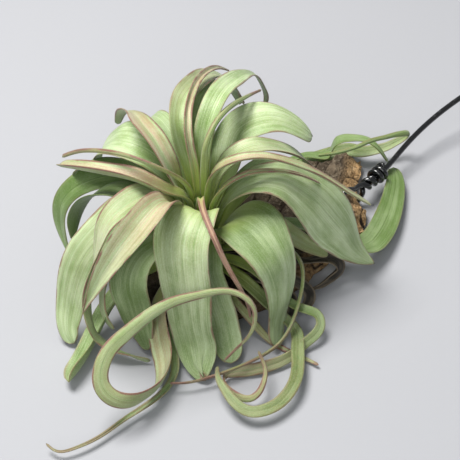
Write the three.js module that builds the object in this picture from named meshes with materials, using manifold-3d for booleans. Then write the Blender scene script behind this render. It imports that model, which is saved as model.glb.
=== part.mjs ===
// Air plant (Tillandsia) growing on a slab of cork bark, with the stiff black wire that the slab is hung by.
// Millimetres, +Z up. The bark lies on its flat back (z = 0) and the rosette's axis is the Z axis.
import * as THREE from 'three';
import Module from 'manifold-3d';
import { mergeVertices } from 'three/addons/utils/BufferGeometryUtils.js';

const wasm = await Module();
wasm.setup();

// ---- driving dimensions, mm
const LEAF_THICKNESS = 0.8;
const CLEARANCE = 0.35; // between neighbouring pieces
const STEM_PROFILE = [[0, 13.35], [7.5, 13.35], [9.5, 18], [9.5, 27], [8.2, 35], [6.2, 43], [4, 50], [1.8, 55], [0, 57]];
const BARK_THICKNESS = 13;
const BARK_ROUGHNESS = 1.1; // height of its ridges
const WIRE_RADIUS = 1.4;
const WIRE_HOLE_RADIUS = 3.2;
const WIRE_HOLE = [69, 42];
const TWIST_RADIUS = 1.95; // of both strands about their common middle, next to the bark
const TWIST_PITCH = 9.7;
const WRAP_RADIUS = 3.15; // further on: from the straight strand's middle to that of the strand wound round it
const WRAP_PITCH = 3.38;
const WRAP_TURNS = 3.5;
const TWIST_TO_WRAP = [0.32, 1.51]; // turns between which the one becomes the other
const WIRE_STEPS = 128;

// ---- bark outline: [y, left x, right x] of stations from the near end to the far end
const BARK_OUTLINE = [
  [-30, -15, 3], [-26, -24, 17], [-20, -31, 30], [-14, -35, 40], [-8, -37, 47], [0, -36.5, 54], [8, -33, 60.5],
  [16, -28, 68], [24, -20, 76.5], [31, -12, 81], [38, -3, 83], [45, 7, 83], [52, 18, 81], [58, 26, 79],
  [65, 36, 81], [70.5, 47.5, 82.5], [74.5, 58, 83], [78.5, 68, 83.5], [82, 76.5, 84], [84.5, 81.5, 84.3],
];

// ---- wire: the free end's hook, down to the winding, over the bark's edge and through its hole
const WRAP_START = [80.6, 52.2, 12.5];
const WRAP_DIRECTION = [0.659, 0.752, 0];
const WIRE_LEAD = [
  [146.5, 117.5, 41.5], [149.5, 119, 46.5], [156, 122.5, 47.5], [161, 125.5, 42.5], [160, 125, 35], [154, 121.5, 29.5],
  [145, 116.5, 26], [136.7, 111.6, 23], [128.2, 105.5, 20.5], [119.8, 98.5, 18], [109.4, 87.5, 15.5], [101.5, 77.5, 13.7],
];
const WIRE_THROUGH_BARK = [
  [76.5, 48.4, 15.6], [72.6, 45.2, 17.8], [69.8, 42.8, 16.6], [69, 42, 12], [69, 42, 6.5], [69.8, 42.9, 3.2],
  [73, 46, 2.2], [76.5, 49.4, 2.4], [79.8, 52.6, 5],
];

// ---- colours
const GREEN = '#a9b889'; // silvery upper side
const FRESH = '#8fa864'; // the same leaf where the fine scales are thin
const PINK = '#c3ab95'; // inner leaves with a pinkish middle
const OLD = '#8d8560'; // ageing lower leaves
const DRY = '#4a4232'; // dead leaves
const BARK = '#6b5646';
const BLACK = '#0c0d0e';

// ---- leaves
// spine: points along the middle of the blade, from its root on the stem to its tip
// width: full widths at equal steps along the blade; fold: how far the margins are raised into a gutter, degrees
// roll: turn of the blade about its own spine, degrees; steps and panels: facets along and across
// They are listed from the heart of the rosette outwards, and each is cut clear of those before it.
const LEAVES = {
  heart_needle: {
    colour: PINK, panels: 2, steps: 12, width: [3.4, 4, 3.6, 3, 2, 1], fold: [40, 45, 30],
    spine: [[-0.3, -4, 50], [0.8, -5.5, 58.5], [2.4, -21.3, 67.8], [7, -35, 65.6], [12.3, -40.5, 54.8],
      [18.5, -44, 42.5], [21.5, -44.7, 34.2], [23, -46, 26]],
  },
  top_thin_leaf: {
    colour: PINK, panels: 2, steps: 12, width: [4, 4.5, 4.5, 4, 3.5, 3, 2, 1], fold: [40, 50, 45],
    spine: [[2.5, 1.5, 51], [2.5, 0, 62], [3, -1.2, 75.5], [4, 0.3, 86], [7, 5.3, 92], [12, 14, 94],
      [17.5, 23.8, 91.8],
      [23, 35, 86.5], [28.5, 45.2, 81.3]],
  },
  top_pink_leaf: {
    colour: PINK, panels: 2, steps: 14, width: [4.5, 5.5, 5.5, 5.5, 5, 4.5, 4, 3, 1], fold: [35, 45, 30],
    spine: [[-1.5, 3, 51], [-1.5, 2.5, 61], [-3, 3, 76], [-5, 8.5, 88], [-4.5, 20, 93], [-2, 34.5, 92],
      [2.5, 50.5, 87], [8, 64.5, 79], [13.5, 75.5, 69]],
  },
  left_upper_ray: {
    colour: PINK, panels: 2, steps: 12, width: [4, 5, 4.5, 4, 3.8, 3.2, 2.6], fold: [35, 55, 50],
    roll: [0, -20, -30],
    spine: [[-3.8, 0.5, 50.5], [-5, -1.5, 61.5], [-14, -6.8, 76.8], [-25, -5.3, 81.9], [-36.5, 1, 80.6],
      [-48.5, 9, 75.1], [-56, 15.5, 68.6], [-63, 20, 62.1]],
  },
  left_lower_ray: {
    colour: PINK, panels: 4, steps: 12, width: [5, 8, 11.5, 13, 12, 10, 6], fold: [30, 38, 35],
    spine: [[-4, -2.5, 49], [-6.5, -4.5, 59.5], [-15, -9, 67.3], [-25, -8, 72.3], [-38.5, -3.5, 72.8],
      [-52.5, 3.5, 69.8], [-63.5, 12.5, 63.8]],
  },
  right_pink_leaf: {
    colour: PINK, panels: 2, steps: 14, width: [5.5, 7, 7.5, 7, 6.5, 6, 5, 2.5], fold: [30, 35, 25],
    spine: [[4, -1, 50], [5, -1.5, 60], [9, -4, 75.5], [18.5, -5.5, 83], [29, -4.5, 83], [40, -3.5, 79],
      [51.5, -1, 71], [64.5, 0.5, 60], [78.5, 4, 47]],
  },
  top_wide_leaf: {
    colour: GREEN, panels: 4, steps: 16, width: [5, 7, 9, 10.5, 11, 11, 9, 6, 5, 4, 1.5],
    fold: [30, 20, 6, 0], roll: [0, 0, 0, -10, -20, -20],
    spine: [[1.5, 5, 48.5], [2, 6.5, 60], [2, 7.5, 77], [3.5, 11, 88], [7.5, 20, 95.1], [13.5, 35.5, 92.6],
      [20, 52.5, 84.6], [26, 66, 73.6], [30, 73.5, 61], [32, 77.5, 51], [31, 80, 42]],
  },
  left_inner_leaf: {
    colour: PINK, panels: 4, steps: 14, width: [5, 8, 14, 16, 14, 9, 1.5], fold: [25, 35, 30, 35, 45],
    spine: [[-4.9, -4.1, 46.5], [-10, -10, 60], [-17, -23, 72], [-23.5, -34, 71.5], [-31.5, -39, 62.5],
      [-39.5, -40.5, 49.5], [-46, -42.5, 37.5], [-50.5, -45, 28.5]],
  },
  front_wide_leaf: {
    colour: GREEN, panels: 4, steps: 17, width: [7, 12, 22, 27, 26, 24, 23, 21.5, 20.5, 19, 11],
    fold: [25, 16, 4, -6, -4, -4],
    spine: [[1.5, -6.5, 43], [1.5, -9.5, 54.5], [-2, -18, 62.3], [-6.5, -31, 60], [-6.5, -39.5, 50],
      [-5, -45, 37], [-3.5, -48.5, 21], [-1.5, -51.5, 11.5], [-0.8, -55, 7.3], [0.3, -58, 5],
      [1.5, -60.2, 3.8]],
  },
  right_strip_leaf: {
    colour: PINK, panels: 2, steps: 12, width: [5, 6, 6, 5, 4, 3, 1], fold: [30, 35, 30],
    spine: [[5.5, -3.5, 46], [7.5, -4.5, 57], [12.5, -6.5, 68], [20.5, -7, 75], [31.5, -5.5, 76],
      [42.5, -2.5, 72],
      [54.5, 3, 61.5]],
  },
  top_left_leaf: {
    colour: GREEN, panels: 4, steps: 16, width: [6, 8, 10, 11, 11, 10, 8, 6, 2], fold: [25, 20, 8],
    spine: [[-2.5, 5.5, 46], [-3, 7.5, 60], [-6, 10.5, 75], [-8.5, 14, 86], [-8, 24, 90], [-3.5, 39, 88],
      [2.5, 57, 80], [9, 72.5, 68], [15, 82.5, 54], [21, 85.5, 40]],
  },
  upper_left_leaf: {
    colour: PINK, panels: 4, steps: 14, width: [6, 8, 12, 13, 11.5, 8, 6, 3], fold: [25, 22, 10],
    roll: [0, 20, 25, 10],
    spine: [[-5.8, 2, 44], [-9.5, 2.5, 59], [-14, 1.5, 74.5], [-20, 7.5, 84], [-25, 15.5, 85],
      [-29.5, 26.5, 82], [-34.5, 36, 76], [-37.5, 42.5, 68], [-39.5, 46, 60]],
  },
  right_upper_leaf: {
    colour: GREEN, panels: 4, steps: 14, width: [6, 10, 13, 13, 13, 12, 10], fold: [25, 20, 8],
    spine: [[5.8, 2.5, 44], [8.5, 3.5, 59], [14, 2.5, 74.5], [23, 5, 80], [34, 10, 76], [44.5, 16.5, 66],
      [52.5, 23, 52]],
  },
  right_back_wide_leaf: {
    colour: GREEN, panels: 4, steps: 14, width: [6, 9, 15, 20, 21, 20, 18, 14, 6], fold: [25, 14, 0, -6],
    spine: [[5, 6.8, 40], [9.5, 11, 55], [13.5, 14.5, 67.5], [17, 24, 74], [25.5, 27, 79], [34.5, 28.5, 79],
      [42.5, 29, 75], [48.5, 29, 70], [52, 31, 65]],
  },
  right_big_leaf: {
    colour: GREEN, panels: 4, steps: 19, width: [7, 8, 10, 12.5, 16, 21, 26, 27.5, 25.5, 20.5, 11.5, 1.2],
    fold: [25, 12, 0, -6, -6], roll: [0, -8, -22, -30, -42, -48, -45, -40],
    spine: [[8, -1.5, 38], [12, -2.5, 54], [18.5, -4, 65.2], [28, -5, 71.5], [36, -5, 71], [44, -4, 65],
      [52, -3.5, 57], [60, -3, 45.2], [67, -1.5, 33.2], [73, -0.5, 22], [78, 0, 16], [82.5, 0.3, 12]],
  },
  top_back_leaf: {
    colour: GREEN, panels: 4, steps: 14, width: [5, 7, 10, 13, 12, 10, 7, 2], fold: [25, 18, 8],
    spine: [[-0.8, 8, 40], [-1.5, 14.5, 56], [-0.5, 19.5, 71], [0.5, 27, 79.5], [3, 39, 82], [8, 56.5, 74.5],
      [14.5, 71.5, 61], [19, 78, 46]],
  },
  left_middle_leaf: {
    colour: GREEN, panels: 4, steps: 19, width: [6, 9, 14, 15, 14, 12, 10, 8.5, 8, 8, 7, 3],
    fold: [25, 18, 8], roll: [0, 0, 0, -20, -60, -70, -40, 0],
    spine: [[-7.2, -3.2, 39], [-13.5, -5.8, 56], [-21.5, -11, 66.5], [-30, -19.5, 69.5], [-38, -26, 65],
      [-42, -30, 56], [-45, -34, 45.5], [-48, -37, 34], [-49, -39.5, 23.5], [-47, -44, 15.5],
      [-44, -45, 10], [-37.5, -47.5, 6.5], [-29.5, -49.5, 4], [-22, -51, 2.5]],
  },
  left_back_wide_leaf: {
    colour: GREEN, panels: 4, steps: 12, width: [6, 10, 19, 22, 18, 12, 3], fold: [25, 12, 5],
    spine: [[-7.4, 4.8, 39], [-12.3, 9.3, 57], [-21.5, 13, 71], [-33.6, 18.5, 73], [-42.6, 27, 63.5],
      [-48.6, 34.5, 48], [-50.6, 37, 31]],
  },
  left_back_low_leaf: {
    colour: FRESH, panels: 4, steps: 12, width: [5, 7, 11, 13, 12, 10, 7, 2], fold: [25, 14, 8],
    spine: [[-9, 0.6, 36], [-16, 2.5, 50.5], [-21.5, 4.5, 59.5], [-28.5, 7, 63.5], [-38, 11.5, 63.5],
      [-49, 17.5, 59.5], [-56, 22, 53], [-60, 25.5, 45]],
  },
  left_outer_leaf: {
    colour: GREEN, panels: 4, steps: 16, width: [6, 9, 15, 19, 20, 19, 18, 16, 13, 7],
    fold: [25, 14, 0, -8, -8], roll: [0, 0, 20, 35, 40, 40],
    spine: [[-8.4, -4.8, 34], [-15, -7.5, 51.5], [-22.5, -10, 59.5], [-31, -14.5, 60.8], [-39.7, -19.5, 55],
      [-49.7, -24, 44.5], [-56.2, -28, 30], [-59.7, -33, 15], [-59.7, -38.5, 6.5], [-57.2, -41.5, 3]],
  },
  right_front_leaf: {
    colour: GREEN, panels: 4, steps: 16, width: [8, 16, 28, 30, 26, 22, 18.5, 15.5, 12.5, 9],
    fold: [25, 10, -4, -8, 0], roll: [0, 0, 5, 5, 0],
    spine: [[8, -4.5, 34], [14.5, -9, 48.5], [20.5, -14.5, 53.5], [28.3, -23.5, 53], [34.3, -30, 46.5],
      [37.3, -32.5, 34], [37.3, -33.5, 20], [36, -34, 12.5], [35, -38.5, 8], [34.5, -45, 5]],
  },
  front_under_leaf: {
    colour: FRESH, panels: 4, steps: 12, width: [7, 10, 12, 13, 13.5, 14, 14, 13.5, 10], fold: [25, 10, 0],
    spine: [[3.5, -8.5, 33], [3.5, -13.5, 43], [4, -20.5, 47.5], [4.5, -27, 45], [4.5, -32, 40],
      [6.5, -35, 33.5], [8, -37.5, 27], [10, -38.5, 20], [11.5, -40.5, 13], [13, -45, 7.5], [14, -49.5, 4],
      [14.5, -53, 3]],
  },
  left_low_leaf: {
    colour: FRESH, panels: 4, steps: 12, width: [6, 11, 16, 18.5, 19.5, 18, 15, 6], fold: [25, 8, -4],
    roll: [0, 0, 10, 25, 40, 40, 30],
    spine: [[-3.6, -9, 30], [-9.5, -15.8, 42], [-19, -21, 46.5], [-26.5, -25.5, 43], [-30.5, -29.5, 36],
      [-31, -32, 29], [-29.5, -34, 21.5], [-28, -36, 13.5], [-25.5, -40, 7.5], [-23, -46, 4]],
  },
  left_near_curl: {
    colour: FRESH, panels: 4, steps: 14, width: [5, 7, 13, 17, 18, 15, 10, 2], fold: [25, 14, 8],
    roll: [0, 0, -10, -20],
    spine: [[-9.6, -1.8, 30], [-17, -3, 45], [-25.7, -3.2, 54.5], [-34.7, -1.2, 59], [-44.7, 2, 56.3],
      [-52.7, 5, 47.5], [-58.2, 6, 34.5], [-60, 4.5, 24]],
  },
  left_far_curl: {
    colour: FRESH, panels: 4, steps: 16, width: [5, 7, 12, 13, 14, 14, 12, 10, 7, 2], fold: [25, 14, 8],
    roll: [0, 5, 15, 30],
    spine: [[-8.8, 4, 28], [-15.5, 11.5, 41.5], [-23, 15.5, 49], [-31.2, 17.5, 51.7], [-41.7, 18.5, 52.2],
      [-52.2, 18.5, 48.7], [-61.2, 17.5, 42.2], [-65.7, 16, 34.5], [-66.2, 12.5, 24], [-63.2, 6, 14]],
  },
  upper_left_back_leaf: {
    colour: FRESH, panels: 4, steps: 12, width: [7, 11, 14, 13, 9, 2], fold: [25, 12, 5],
    spine: [[-4.5, 8.5, 33], [-9, 20, 55], [-14, 28, 66.5], [-19.5, 37, 68.5], [-25, 48, 61], [-28, 55, 46],
      [-28, 58, 30]],
  },
  back_middle_leaf: {
    colour: FRESH, panels: 4, steps: 10, width: [7, 10, 14, 14, 12, 8, 2], fold: [25, 12, 5],
    spine: [[2.5, 9.5, 31], [5, 20, 49], [8, 33, 57], [12, 48, 52], [15, 59, 40], [16, 65, 27]],
  },
  back_left_low_leaf: {
    colour: FRESH, panels: 4, steps: 10, width: [7, 11, 15, 15, 12, 8, 2], fold: [25, 12, 5],
    spine: [[-7.2, 7, 26], [-17, 18, 42], [-28, 31, 46], [-38, 43, 38], [-44, 51, 24], [-45, 54, 10]],
  },
  back_right_low_leaf: {
    colour: FRESH, panels: 4, steps: 10, width: [7, 11, 15, 14, 11, 8, 2], fold: [25, 12, 5],
    spine: [[7.5, 6.5, 28], [18, 16, 43], [31, 27, 49], [43, 38, 42], [50, 46, 30], [51, 50, 21]],
  },
  khaki_leaf: {
    colour: OLD, panels: 4, steps: 10, width: [6, 10, 14, 13, 8], fold: [25, 10, 5],
    spine: [[9.6, 0.6, 27.5], [20, 4, 33.5], [29, 6.5, 35], [39.5, 4.5, 29.5], [50.5, 2, 23],
      [60.5, 1, 17.5]],
  },
  dry_curl_upper: {
    colour: DRY, panels: 2, steps: 14, width: [4, 4, 4.5, 5, 5, 5, 7, 7.5, 5.5, 1.5], fold: [20, 20, 35, 50],
    roll: [0, 0, 0, 0, 0, -40, -60, -60],
    spine: [[9.3, 0.8, 16.8], [24, 0, 17.5], [40, -1.5, 16.5], [52, -0.5, 14.5], [59, 0.5, 15],
      [63.5, 1.5, 12.5], [65.5, 1, 9], [63.5, -0.5, 6.5], [60.5, -3, 5.5], [57, -6.5, 5], [52.5, -9.5, 5]],
  },
  dry_curl_middle: {
    colour: DRY, panels: 2, steps: 12, width: [4, 4, 4.5, 5, 5.5, 6.5, 6.5, 3], fold: [20, 20, 40],
    roll: [0, 0, 0, 0, -20, -40, -50],
    spine: [[8.8, -2.8, 16.8], [22, -6.5, 17.5], [36, -9.5, 16.5], [45.5, -13.5, 13.5], [49, -14, 10.5],
      [51, -15.5, 7.5], [50.5, -18, 5], [48, -20, 3.5], [45.5, -21.5, 3]],
  },
  dry_curl_lower: {
    colour: DRY, panels: 2, steps: 10, width: [3.5, 4, 4.5, 5.5, 7, 6.5, 3], fold: [20, 20, 40],
    roll: [0, 0, 0, -20, -40, -50],
    spine: [[7.2, -5.6, 16.8], [17, -11.5, 17], [29, -14.5, 16.5], [38, -17.5, 12.8], [43, -21, 8],
      [42.5, -24.3, 4.5], [39, -26.3, 3]],
  },
  left_low_thin_leaf: {
    colour: FRESH, panels: 2, steps: 12, width: [6, 8, 8, 7, 6, 5, 2], fold: [25, 10, 4],
    spine: [[-8.2, -6, 25], [-20, -13, 35], [-34, -17, 35.5], [-42, -23, 28], [-44, -29, 19],
      [-42.5, -34.5, 13.3],
      [-38.5, -39, 10]],
  },
  right_sweeping_leaf: {
    colour: OLD, panels: 2, steps: 22, width: [6, 6, 6, 5, 4.5, 4, 3.5, 3, 2.6, 2, 1.2], fold: [25, 40, 40],
    roll: [0, 40, 50, 50, 40],
    spine: [[9.5, -3, 25], [25, -6.5, 30], [39, -8.5, 31.5], [46, -16, 28], [46.5, -21.5, 22.8],
      [44.5, -30, 18],
      [41.5, -37.5, 13.3], [36, -46, 10], [28.5, -52, 8.5], [18.5, -57.5, 7.5], [5, -63, 6.5], [-6, -66, 6],
      [-13, -66.5, 6.3]],
  },
  right_curl: {
    colour: FRESH, panels: 2, steps: 36,
    width: [6, 7, 6.5, 5.5, 5, 4.8, 5.3, 5.2, 5.6, 6, 5.6, 3, 3.4, 3, 2, 1.2],
    fold: [25, 10, 5], roll: [0, 0, -20, -15, -10, 55, 60],
    spine: [[8.6, -5, 22], [26, -14.5, 22], [40, -25, 14], [49.5, -30, 13], [54, -31, 11], [55.3, -34, 8.5],
      [53, -38.5, 6.5], [48, -42.5, 4.7], [42.5, -48.5, 4.5], [35.5, -53, 4], [25, -56.5, 3.5],
      [16.5, -58, 3.3], [11.5, -60.3, 3.4], [11.5, -64.3, 3.5], [14.5, -69.5, 4], [18.5, -73, 4.5],
      [22.5, -74.5, 5.5], [26, -73, 7], [28.5, -69, 9], [29.5, -63, 11], [28, -57.5, 12], [26.5, -53, 12]],
  },
  bottom_curl: {
    colour: FRESH, panels: 2, steps: 28, width: [6, 7.5, 7, 6, 6.3, 6.5, 6, 5.8, 5.2, 4, 1.5],
    fold: [25, 10, 5], roll: [0, 0, 10, 20, 20],
    spine: [[7.2, -7.4, 20.5], [22, -18.5, 18], [36, -28, 8.8], [44, -36.8, 6.5], [44.5, -47, 6.5],
      [44, -58.5, 7.5], [41.5, -69, 8], [36, -77, 7], [29.5, -81.5, 7], [22.5, -82.5, 7], [16, -78.5, 8],
      [11.5, -72, 9], [8.5, -65, 9.5], [8.5, -59.5, 9.5]],
  },
  looping_leaf: {
    colour: GREEN, panels: 2, steps: 38, width: [7, 10, 12, 12, 10, 8, 7, 6.5, 5.5, 4, 3, 2, 1],
    fold: [25, 15, 10, 30, 40], roll: [0, 0, 0, -20, -50, -60, -60, -60, -50, -40],
    spine: [[-3.5, -9.2, 24], [-12, -20, 20.5], [-18, -33, 13.5], [-17, -44, 9.5], [-14.5, -57, 8.5],
      [-16.3, -70, 10], [-22.5, -79.5, 13], [-29, -85, 17], [-36, -85.5, 21], [-40, -82.5, 26],
      [-40, -78, 31], [-36.5, -72, 36], [-29.5, -66.5, 40], [-20, -60, 44], [-9.5, -54, 46],
      [2.8, -50.5, 47], [12.3, -49, 47], [19.8, -50.5, 45], [24.3, -53, 40], [24.8, -55.5, 34],
      [22.3, -58, 28], [17.3, -59.5, 22], [11.3, -62, 16]],
  },
  gutter_leaf: {
    colour: FRESH, panels: 2, steps: 12, width: [6, 9, 12, 13, 12], fold: [25, 40, 50], roll: [0, -10, -25],
    spine: [[-8.4, -5.2, 21], [-24, -14, 21.5], [-38.5, -23.5, 13], [-46, -38, 6.8], [-51, -53, 5.5],
      [-57, -66, 6]],
  },
  whisker_leaf: {
    colour: FRESH, panels: 2, steps: 20,
    width: [6, 6, 5, 5, 4, 3, 2, 1], fold: [25, 45, 45], roll: [0, 20, 20],
    spine: [[-4.2, -8.2, 21], [-9, -20, 18], [-11.5, -34, 11], [-11.5, -46, 5], [-10.5, -57, 3.2],
      [-14, -68, 3.2],
      [-21, -76, 3.5], [-31.5, -84.5, 3.5], [-41.5, -93.5, 3.5], [-51.5, -99.5, 4], [-59, -101, 4],
      [-64, -97.5, 5]],
  },
  right_low_thin_leaf: {
    colour: OLD, panels: 2, steps: 12, width: [4, 4.5, 4.5, 4, 3, 2.4, 1.4], fold: [20, 5, 5],
    spine: [[4.4, -8.3, 17], [12, -21.5, 17.3], [24, -32.5, 8.5], [33, -39, 1.6], [42.5, -45.3, 1],
      [49.5, -50, 1.6],
      [54, -53.5, 2.4]],
  },
  far_right_leaf: {
    colour: FRESH, panels: 4, steps: 16, width: [5, 9, 11, 12, 12.5, 13, 13.5, 13.5, 12.5, 11, 7],
    fold: [25, 10, 4],
    spine: [[9.4, 3.2, 23], [26, 12, 23], [42, 15.5, 22.5], [57, 13, 20.5], [69, 9.5, 17.5],
      [76.5, 10.5, 13.5], [81.3, 14.5, 10.8], [87, 23.5, 9], [92.3, 36, 7.6], [96, 48, 7], [98.3, 58, 7],
      [99.3, 66.5, 7.2], [98.5, 73, 8]],
  },
  back_curl: {
    colour: FRESH, panels: 2, steps: 30, width: [5, 5, 5, 4.5, 4, 4, 4, 5.5, 9, 9.5, 7.5, 4, 1],
    fold: [25, 10, 10],
    spine: [[4.6, 9, 26], [12, 29, 30], [21, 47, 25], [32, 63, 16], [44, 76, 9.5], [56, 82, 8],
      [66.5, 82.5, 8.5], [68, 83, 12.5], [69.5, 83, 16.5], [72.5, 83, 18.5], [77, 82.5, 19.5],
      [82.5, 81.5, 20], [87.5, 79, 19.5], [91.5, 77.5, 16], [94.5, 77, 11.5], [96.5, 77.5, 8]],
  },
  back_hook: {
    colour: FRESH, panels: 2, steps: 36, width: [5, 6, 6, 6, 6, 5.5, 5.5, 7.5, 8, 6.5, 5, 4, 3.5, 3.5, 3, 2],
    fold: [25, 25, 15, 10, 25, 50, 50], roll: [0, 0, 0, 0, 0, 0, -35, -60, -60, -50, -30, 0, 0, 0],
    spine: [[1.5, 9.8, 21.5], [5, 30, 18], [12, 47, 13], [22, 62, 7.5], [32, 73.5, 4], [44, 80.5, 2.8],
      [56, 85, 3], [68, 88.3, 4], [77.5, 90, 5.2], [83, 86.5, 7], [90, 86.5, 8], [96.5, 88, 9],
      [101.5, 90, 10.5], [106, 91.5, 12.5], [108, 90.5, 16], [105.5, 86, 20.5], [99, 80.5, 23.5],
      [92.5, 75.5, 25.5], [86, 71.5, 27], [79.5, 67.5, 27], [74.5, 65, 27], [66, 62, 27], [58, 60.5, 27]],
  },
};

// Natural cubic spline through points, parameterised by chord length; returns count + 1 evenly spaced points.
function splinePoints(points, count) {
  const p = points.map((q) => new THREE.Vector3(...q));
  const last = p.length - 1;
  const h = p.slice(1).map((q, i) => q.distanceTo(p[i]));
  const knots = h.reduce((list, d) => [...list, list[list.length - 1] + d], [0]);
  // second derivatives by forward elimination and back substitution
  const diagonal = [1];
  const right = [new THREE.Vector3()];
  for (let i = 1; i < last; i++) {
    const slopeAfter = p[i + 1].clone().sub(p[i]).divideScalar(h[i]);
    const slopeBefore = p[i].clone().sub(p[i - 1]).divideScalar(h[i - 1]);
    const upper = i > 1 ? h[i - 1] / diagonal[i - 1] : 0;
    diagonal.push(2 * (h[i - 1] + h[i]) - upper * h[i - 1]);
    right.push(slopeAfter.sub(slopeBefore).multiplyScalar(6).addScaledVector(right[i - 1], -upper));
  }
  const m = p.map(() => new THREE.Vector3());
  for (let i = last - 1; i > 0; i--) {
    m[i].copy(right[i]).addScaledVector(m[i + 1], -h[i]).divideScalar(diagonal[i]);
  }
  const at = (x) => {
    let i = last - 1;
    while (i > 0 && knots[i] > x) i--;
    const u = x - knots[i];
    const w = knots[i + 1] - x;
    return new THREE.Vector3()
      .addScaledVector(m[i], w ** 3 / (6 * h[i]) - (h[i] * w) / 6)
      .addScaledVector(m[i + 1], u ** 3 / (6 * h[i]) - (h[i] * u) / 6)
      .addScaledVector(p[i], w / h[i])
      .addScaledVector(p[i + 1], u / h[i]);
  };
  const fine = Array.from({ length: 400 }, (_, i) => at((knots[last] * i) / 399));
  const run = [0];
  for (let i = 1; i < fine.length; i++) run.push(run[i - 1] + fine[i].distanceTo(fine[i - 1]));
  const total = run[run.length - 1];
  let i = 1;
  return Array.from({ length: count + 1 }, (_, k) => {
    const s = (total * k) / count;
    while (i < run.length - 1 && run[i] < s) i++;
    return fine[i - 1].clone().lerp(fine[i], (s - run[i - 1]) / (run[i] - run[i - 1]));
  });
}

// Smooth (Catmull-Rom) reading at s = 0..1 of values given at equal steps.
function along(values, s) {
  if (values.length === 1) return values[0];
  const last = values.length - 1;
  const x = Math.min(Math.max(s, 0), 1) * last;
  const i = Math.min(Math.floor(x), last - 1);
  const u = x - i;
  const slope = (k) => {
    if (k === 0) return values[1] - values[0];
    if (k === last) return values[last] - values[last - 1];
    return (values[k + 1] - values[k - 1]) / 2;
  };
  return (2 * u ** 3 - 3 * u ** 2 + 1) * values[i] + (u ** 3 - 2 * u ** 2 + u) * slope(i)
    + (-2 * u ** 3 + 3 * u ** 2) * values[i + 1] + (u ** 3 - u ** 2) * slope(i + 1);
}

// Normals carried along a path with the least twist, by double reflection.
function leastTwistNormals(path, tangents, first) {
  const normals = [first.clone().addScaledVector(tangents[0], -first.dot(tangents[0])).normalize()];
  for (let i = 0; i + 1 < path.length; i++) {
    const step = path[i + 1].clone().sub(path[i]);
    const c1 = step.lengthSq();
    const n = normals[i].clone().addScaledVector(step, (-2 / c1) * step.dot(normals[i]));
    const t = tangents[i].clone().addScaledVector(step, (-2 / c1) * step.dot(tangents[i]));
    const turn = tangents[i + 1].clone().sub(t);
    const c2 = turn.lengthSq();
    if (c2 > 1e-12) n.addScaledVector(turn, (-2 / c2) * turn.dot(n));
    n.addScaledVector(tangents[i + 1], -n.dot(tangents[i + 1]));
    normals.push(n.normalize());
  }
  return normals;
}

// Closed mesh of a leaf: an upper and a lower grid of points joined round their rim. grow makes it thicker and wider.
function leafGeometry({ spine, width, fold, roll = [0], steps, panels }, grow = 0) {
  const path = splinePoints(spine, steps);
  const tangents = path.map((_, i) =>
    path[Math.min(i + 1, steps)].clone().sub(path[Math.max(i - 1, 0)]).normalize());
  const third = path[Math.floor((steps + 1) / 3)];
  const outward = new THREE.Vector3(third.x - path[0].x, third.y - path[0].y, 0).normalize();
  const normals = leastTwistNormals(path, tangents, new THREE.Vector3(0, 0, 1).addScaledVector(outward, -0.8));
  const columns = panels + 1;
  const upper = [];
  const lower = [];
  for (let i = 0; i <= steps; i++) {
    const s = i / steps;
    const normal = normals[i].clone().applyAxisAngle(tangents[i], THREE.MathUtils.degToRad(-along(roll, s)));
    const side = tangents[i].clone().cross(normal);
    const half = Math.max(0.3, along(width, s) / 2) + grow;
    const angle = THREE.MathUtils.degToRad(along(fold, s));
    for (let j = 0; j < columns; j++) {
      const x = (2 * j) / panels - 1;
      const middle = path[i].clone()
        .addScaledVector(side, half * Math.cos(angle) * x)
        .addScaledVector(normal, half * Math.sin(angle) * Math.abs(x) ** 1.5);
      const slope = 1.5 * Math.tan(angle) * Math.sign(x) * Math.sqrt(Math.abs(x));
      const across = normal.clone().addScaledVector(side, -slope).normalize();
      upper.push(middle.clone().addScaledVector(across, LEAF_THICKNESS / 2 + grow));
      lower.push(middle.clone().addScaledVector(across, -LEAF_THICKNESS / 2 - grow));
    }
  }
  const at = (i, j) => i * columns + j;
  const under = upper.length;
  const faces = [];
  const quad = (a, b, c, d) => faces.push(a, c, b, a, d, c);
  for (let i = 0; i < steps; i++) {
    for (let j = 0; j < panels; j++) {
      quad(at(i, j), at(i + 1, j), at(i + 1, j + 1), at(i, j + 1));
      faces.push(under + at(i, j), under + at(i + 1, j), under + at(i + 1, j + 1));
      faces.push(under + at(i, j), under + at(i + 1, j + 1), under + at(i, j + 1));
    }
    quad(at(i, 0), under + at(i, 0), under + at(i + 1, 0), at(i + 1, 0));
    quad(at(i, panels), at(i + 1, panels), under + at(i + 1, panels), under + at(i, panels));
  }
  for (let j = 0; j < panels; j++) {
    quad(at(0, j), at(0, j + 1), under + at(0, j + 1), under + at(0, j));
    quad(at(steps, j), under + at(steps, j), under + at(steps, j + 1), at(steps, j + 1));
  }
  const geometry = new THREE.BufferGeometry().setFromPoints([...upper, ...lower]);
  geometry.setIndex(faces);
  return geometry;
}

// ---- solids
function toSolid(geometry) {
  const bare = geometry.clone();
  bare.deleteAttribute('normal');
  bare.deleteAttribute('uv');
  const merged = mergeVertices(bare, 1e-4);
  return new wasm.Manifold(new wasm.Mesh({
    numProp: 3,
    vertProperties: new Float32Array(merged.attributes.position.array),
    triVerts: new Uint32Array(merged.index.array),
  }));
}

function toGeometry(solid) {
  const mesh = solid.getMesh();
  const geometry = new THREE.BufferGeometry();
  geometry.setAttribute('position', new THREE.BufferAttribute(new Float32Array(mesh.vertProperties), 3));
  geometry.setIndex(new THREE.BufferAttribute(new Uint32Array(mesh.triVerts), 1));
  geometry.computeVertexNormals();
  return geometry;
}

const largest = (solid) => solid.decompose().reduce((a, b) => (b.volume() > a.volume() ? b : a));

const plant = new THREE.Group();
plant.name = 'air_plant';

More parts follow.
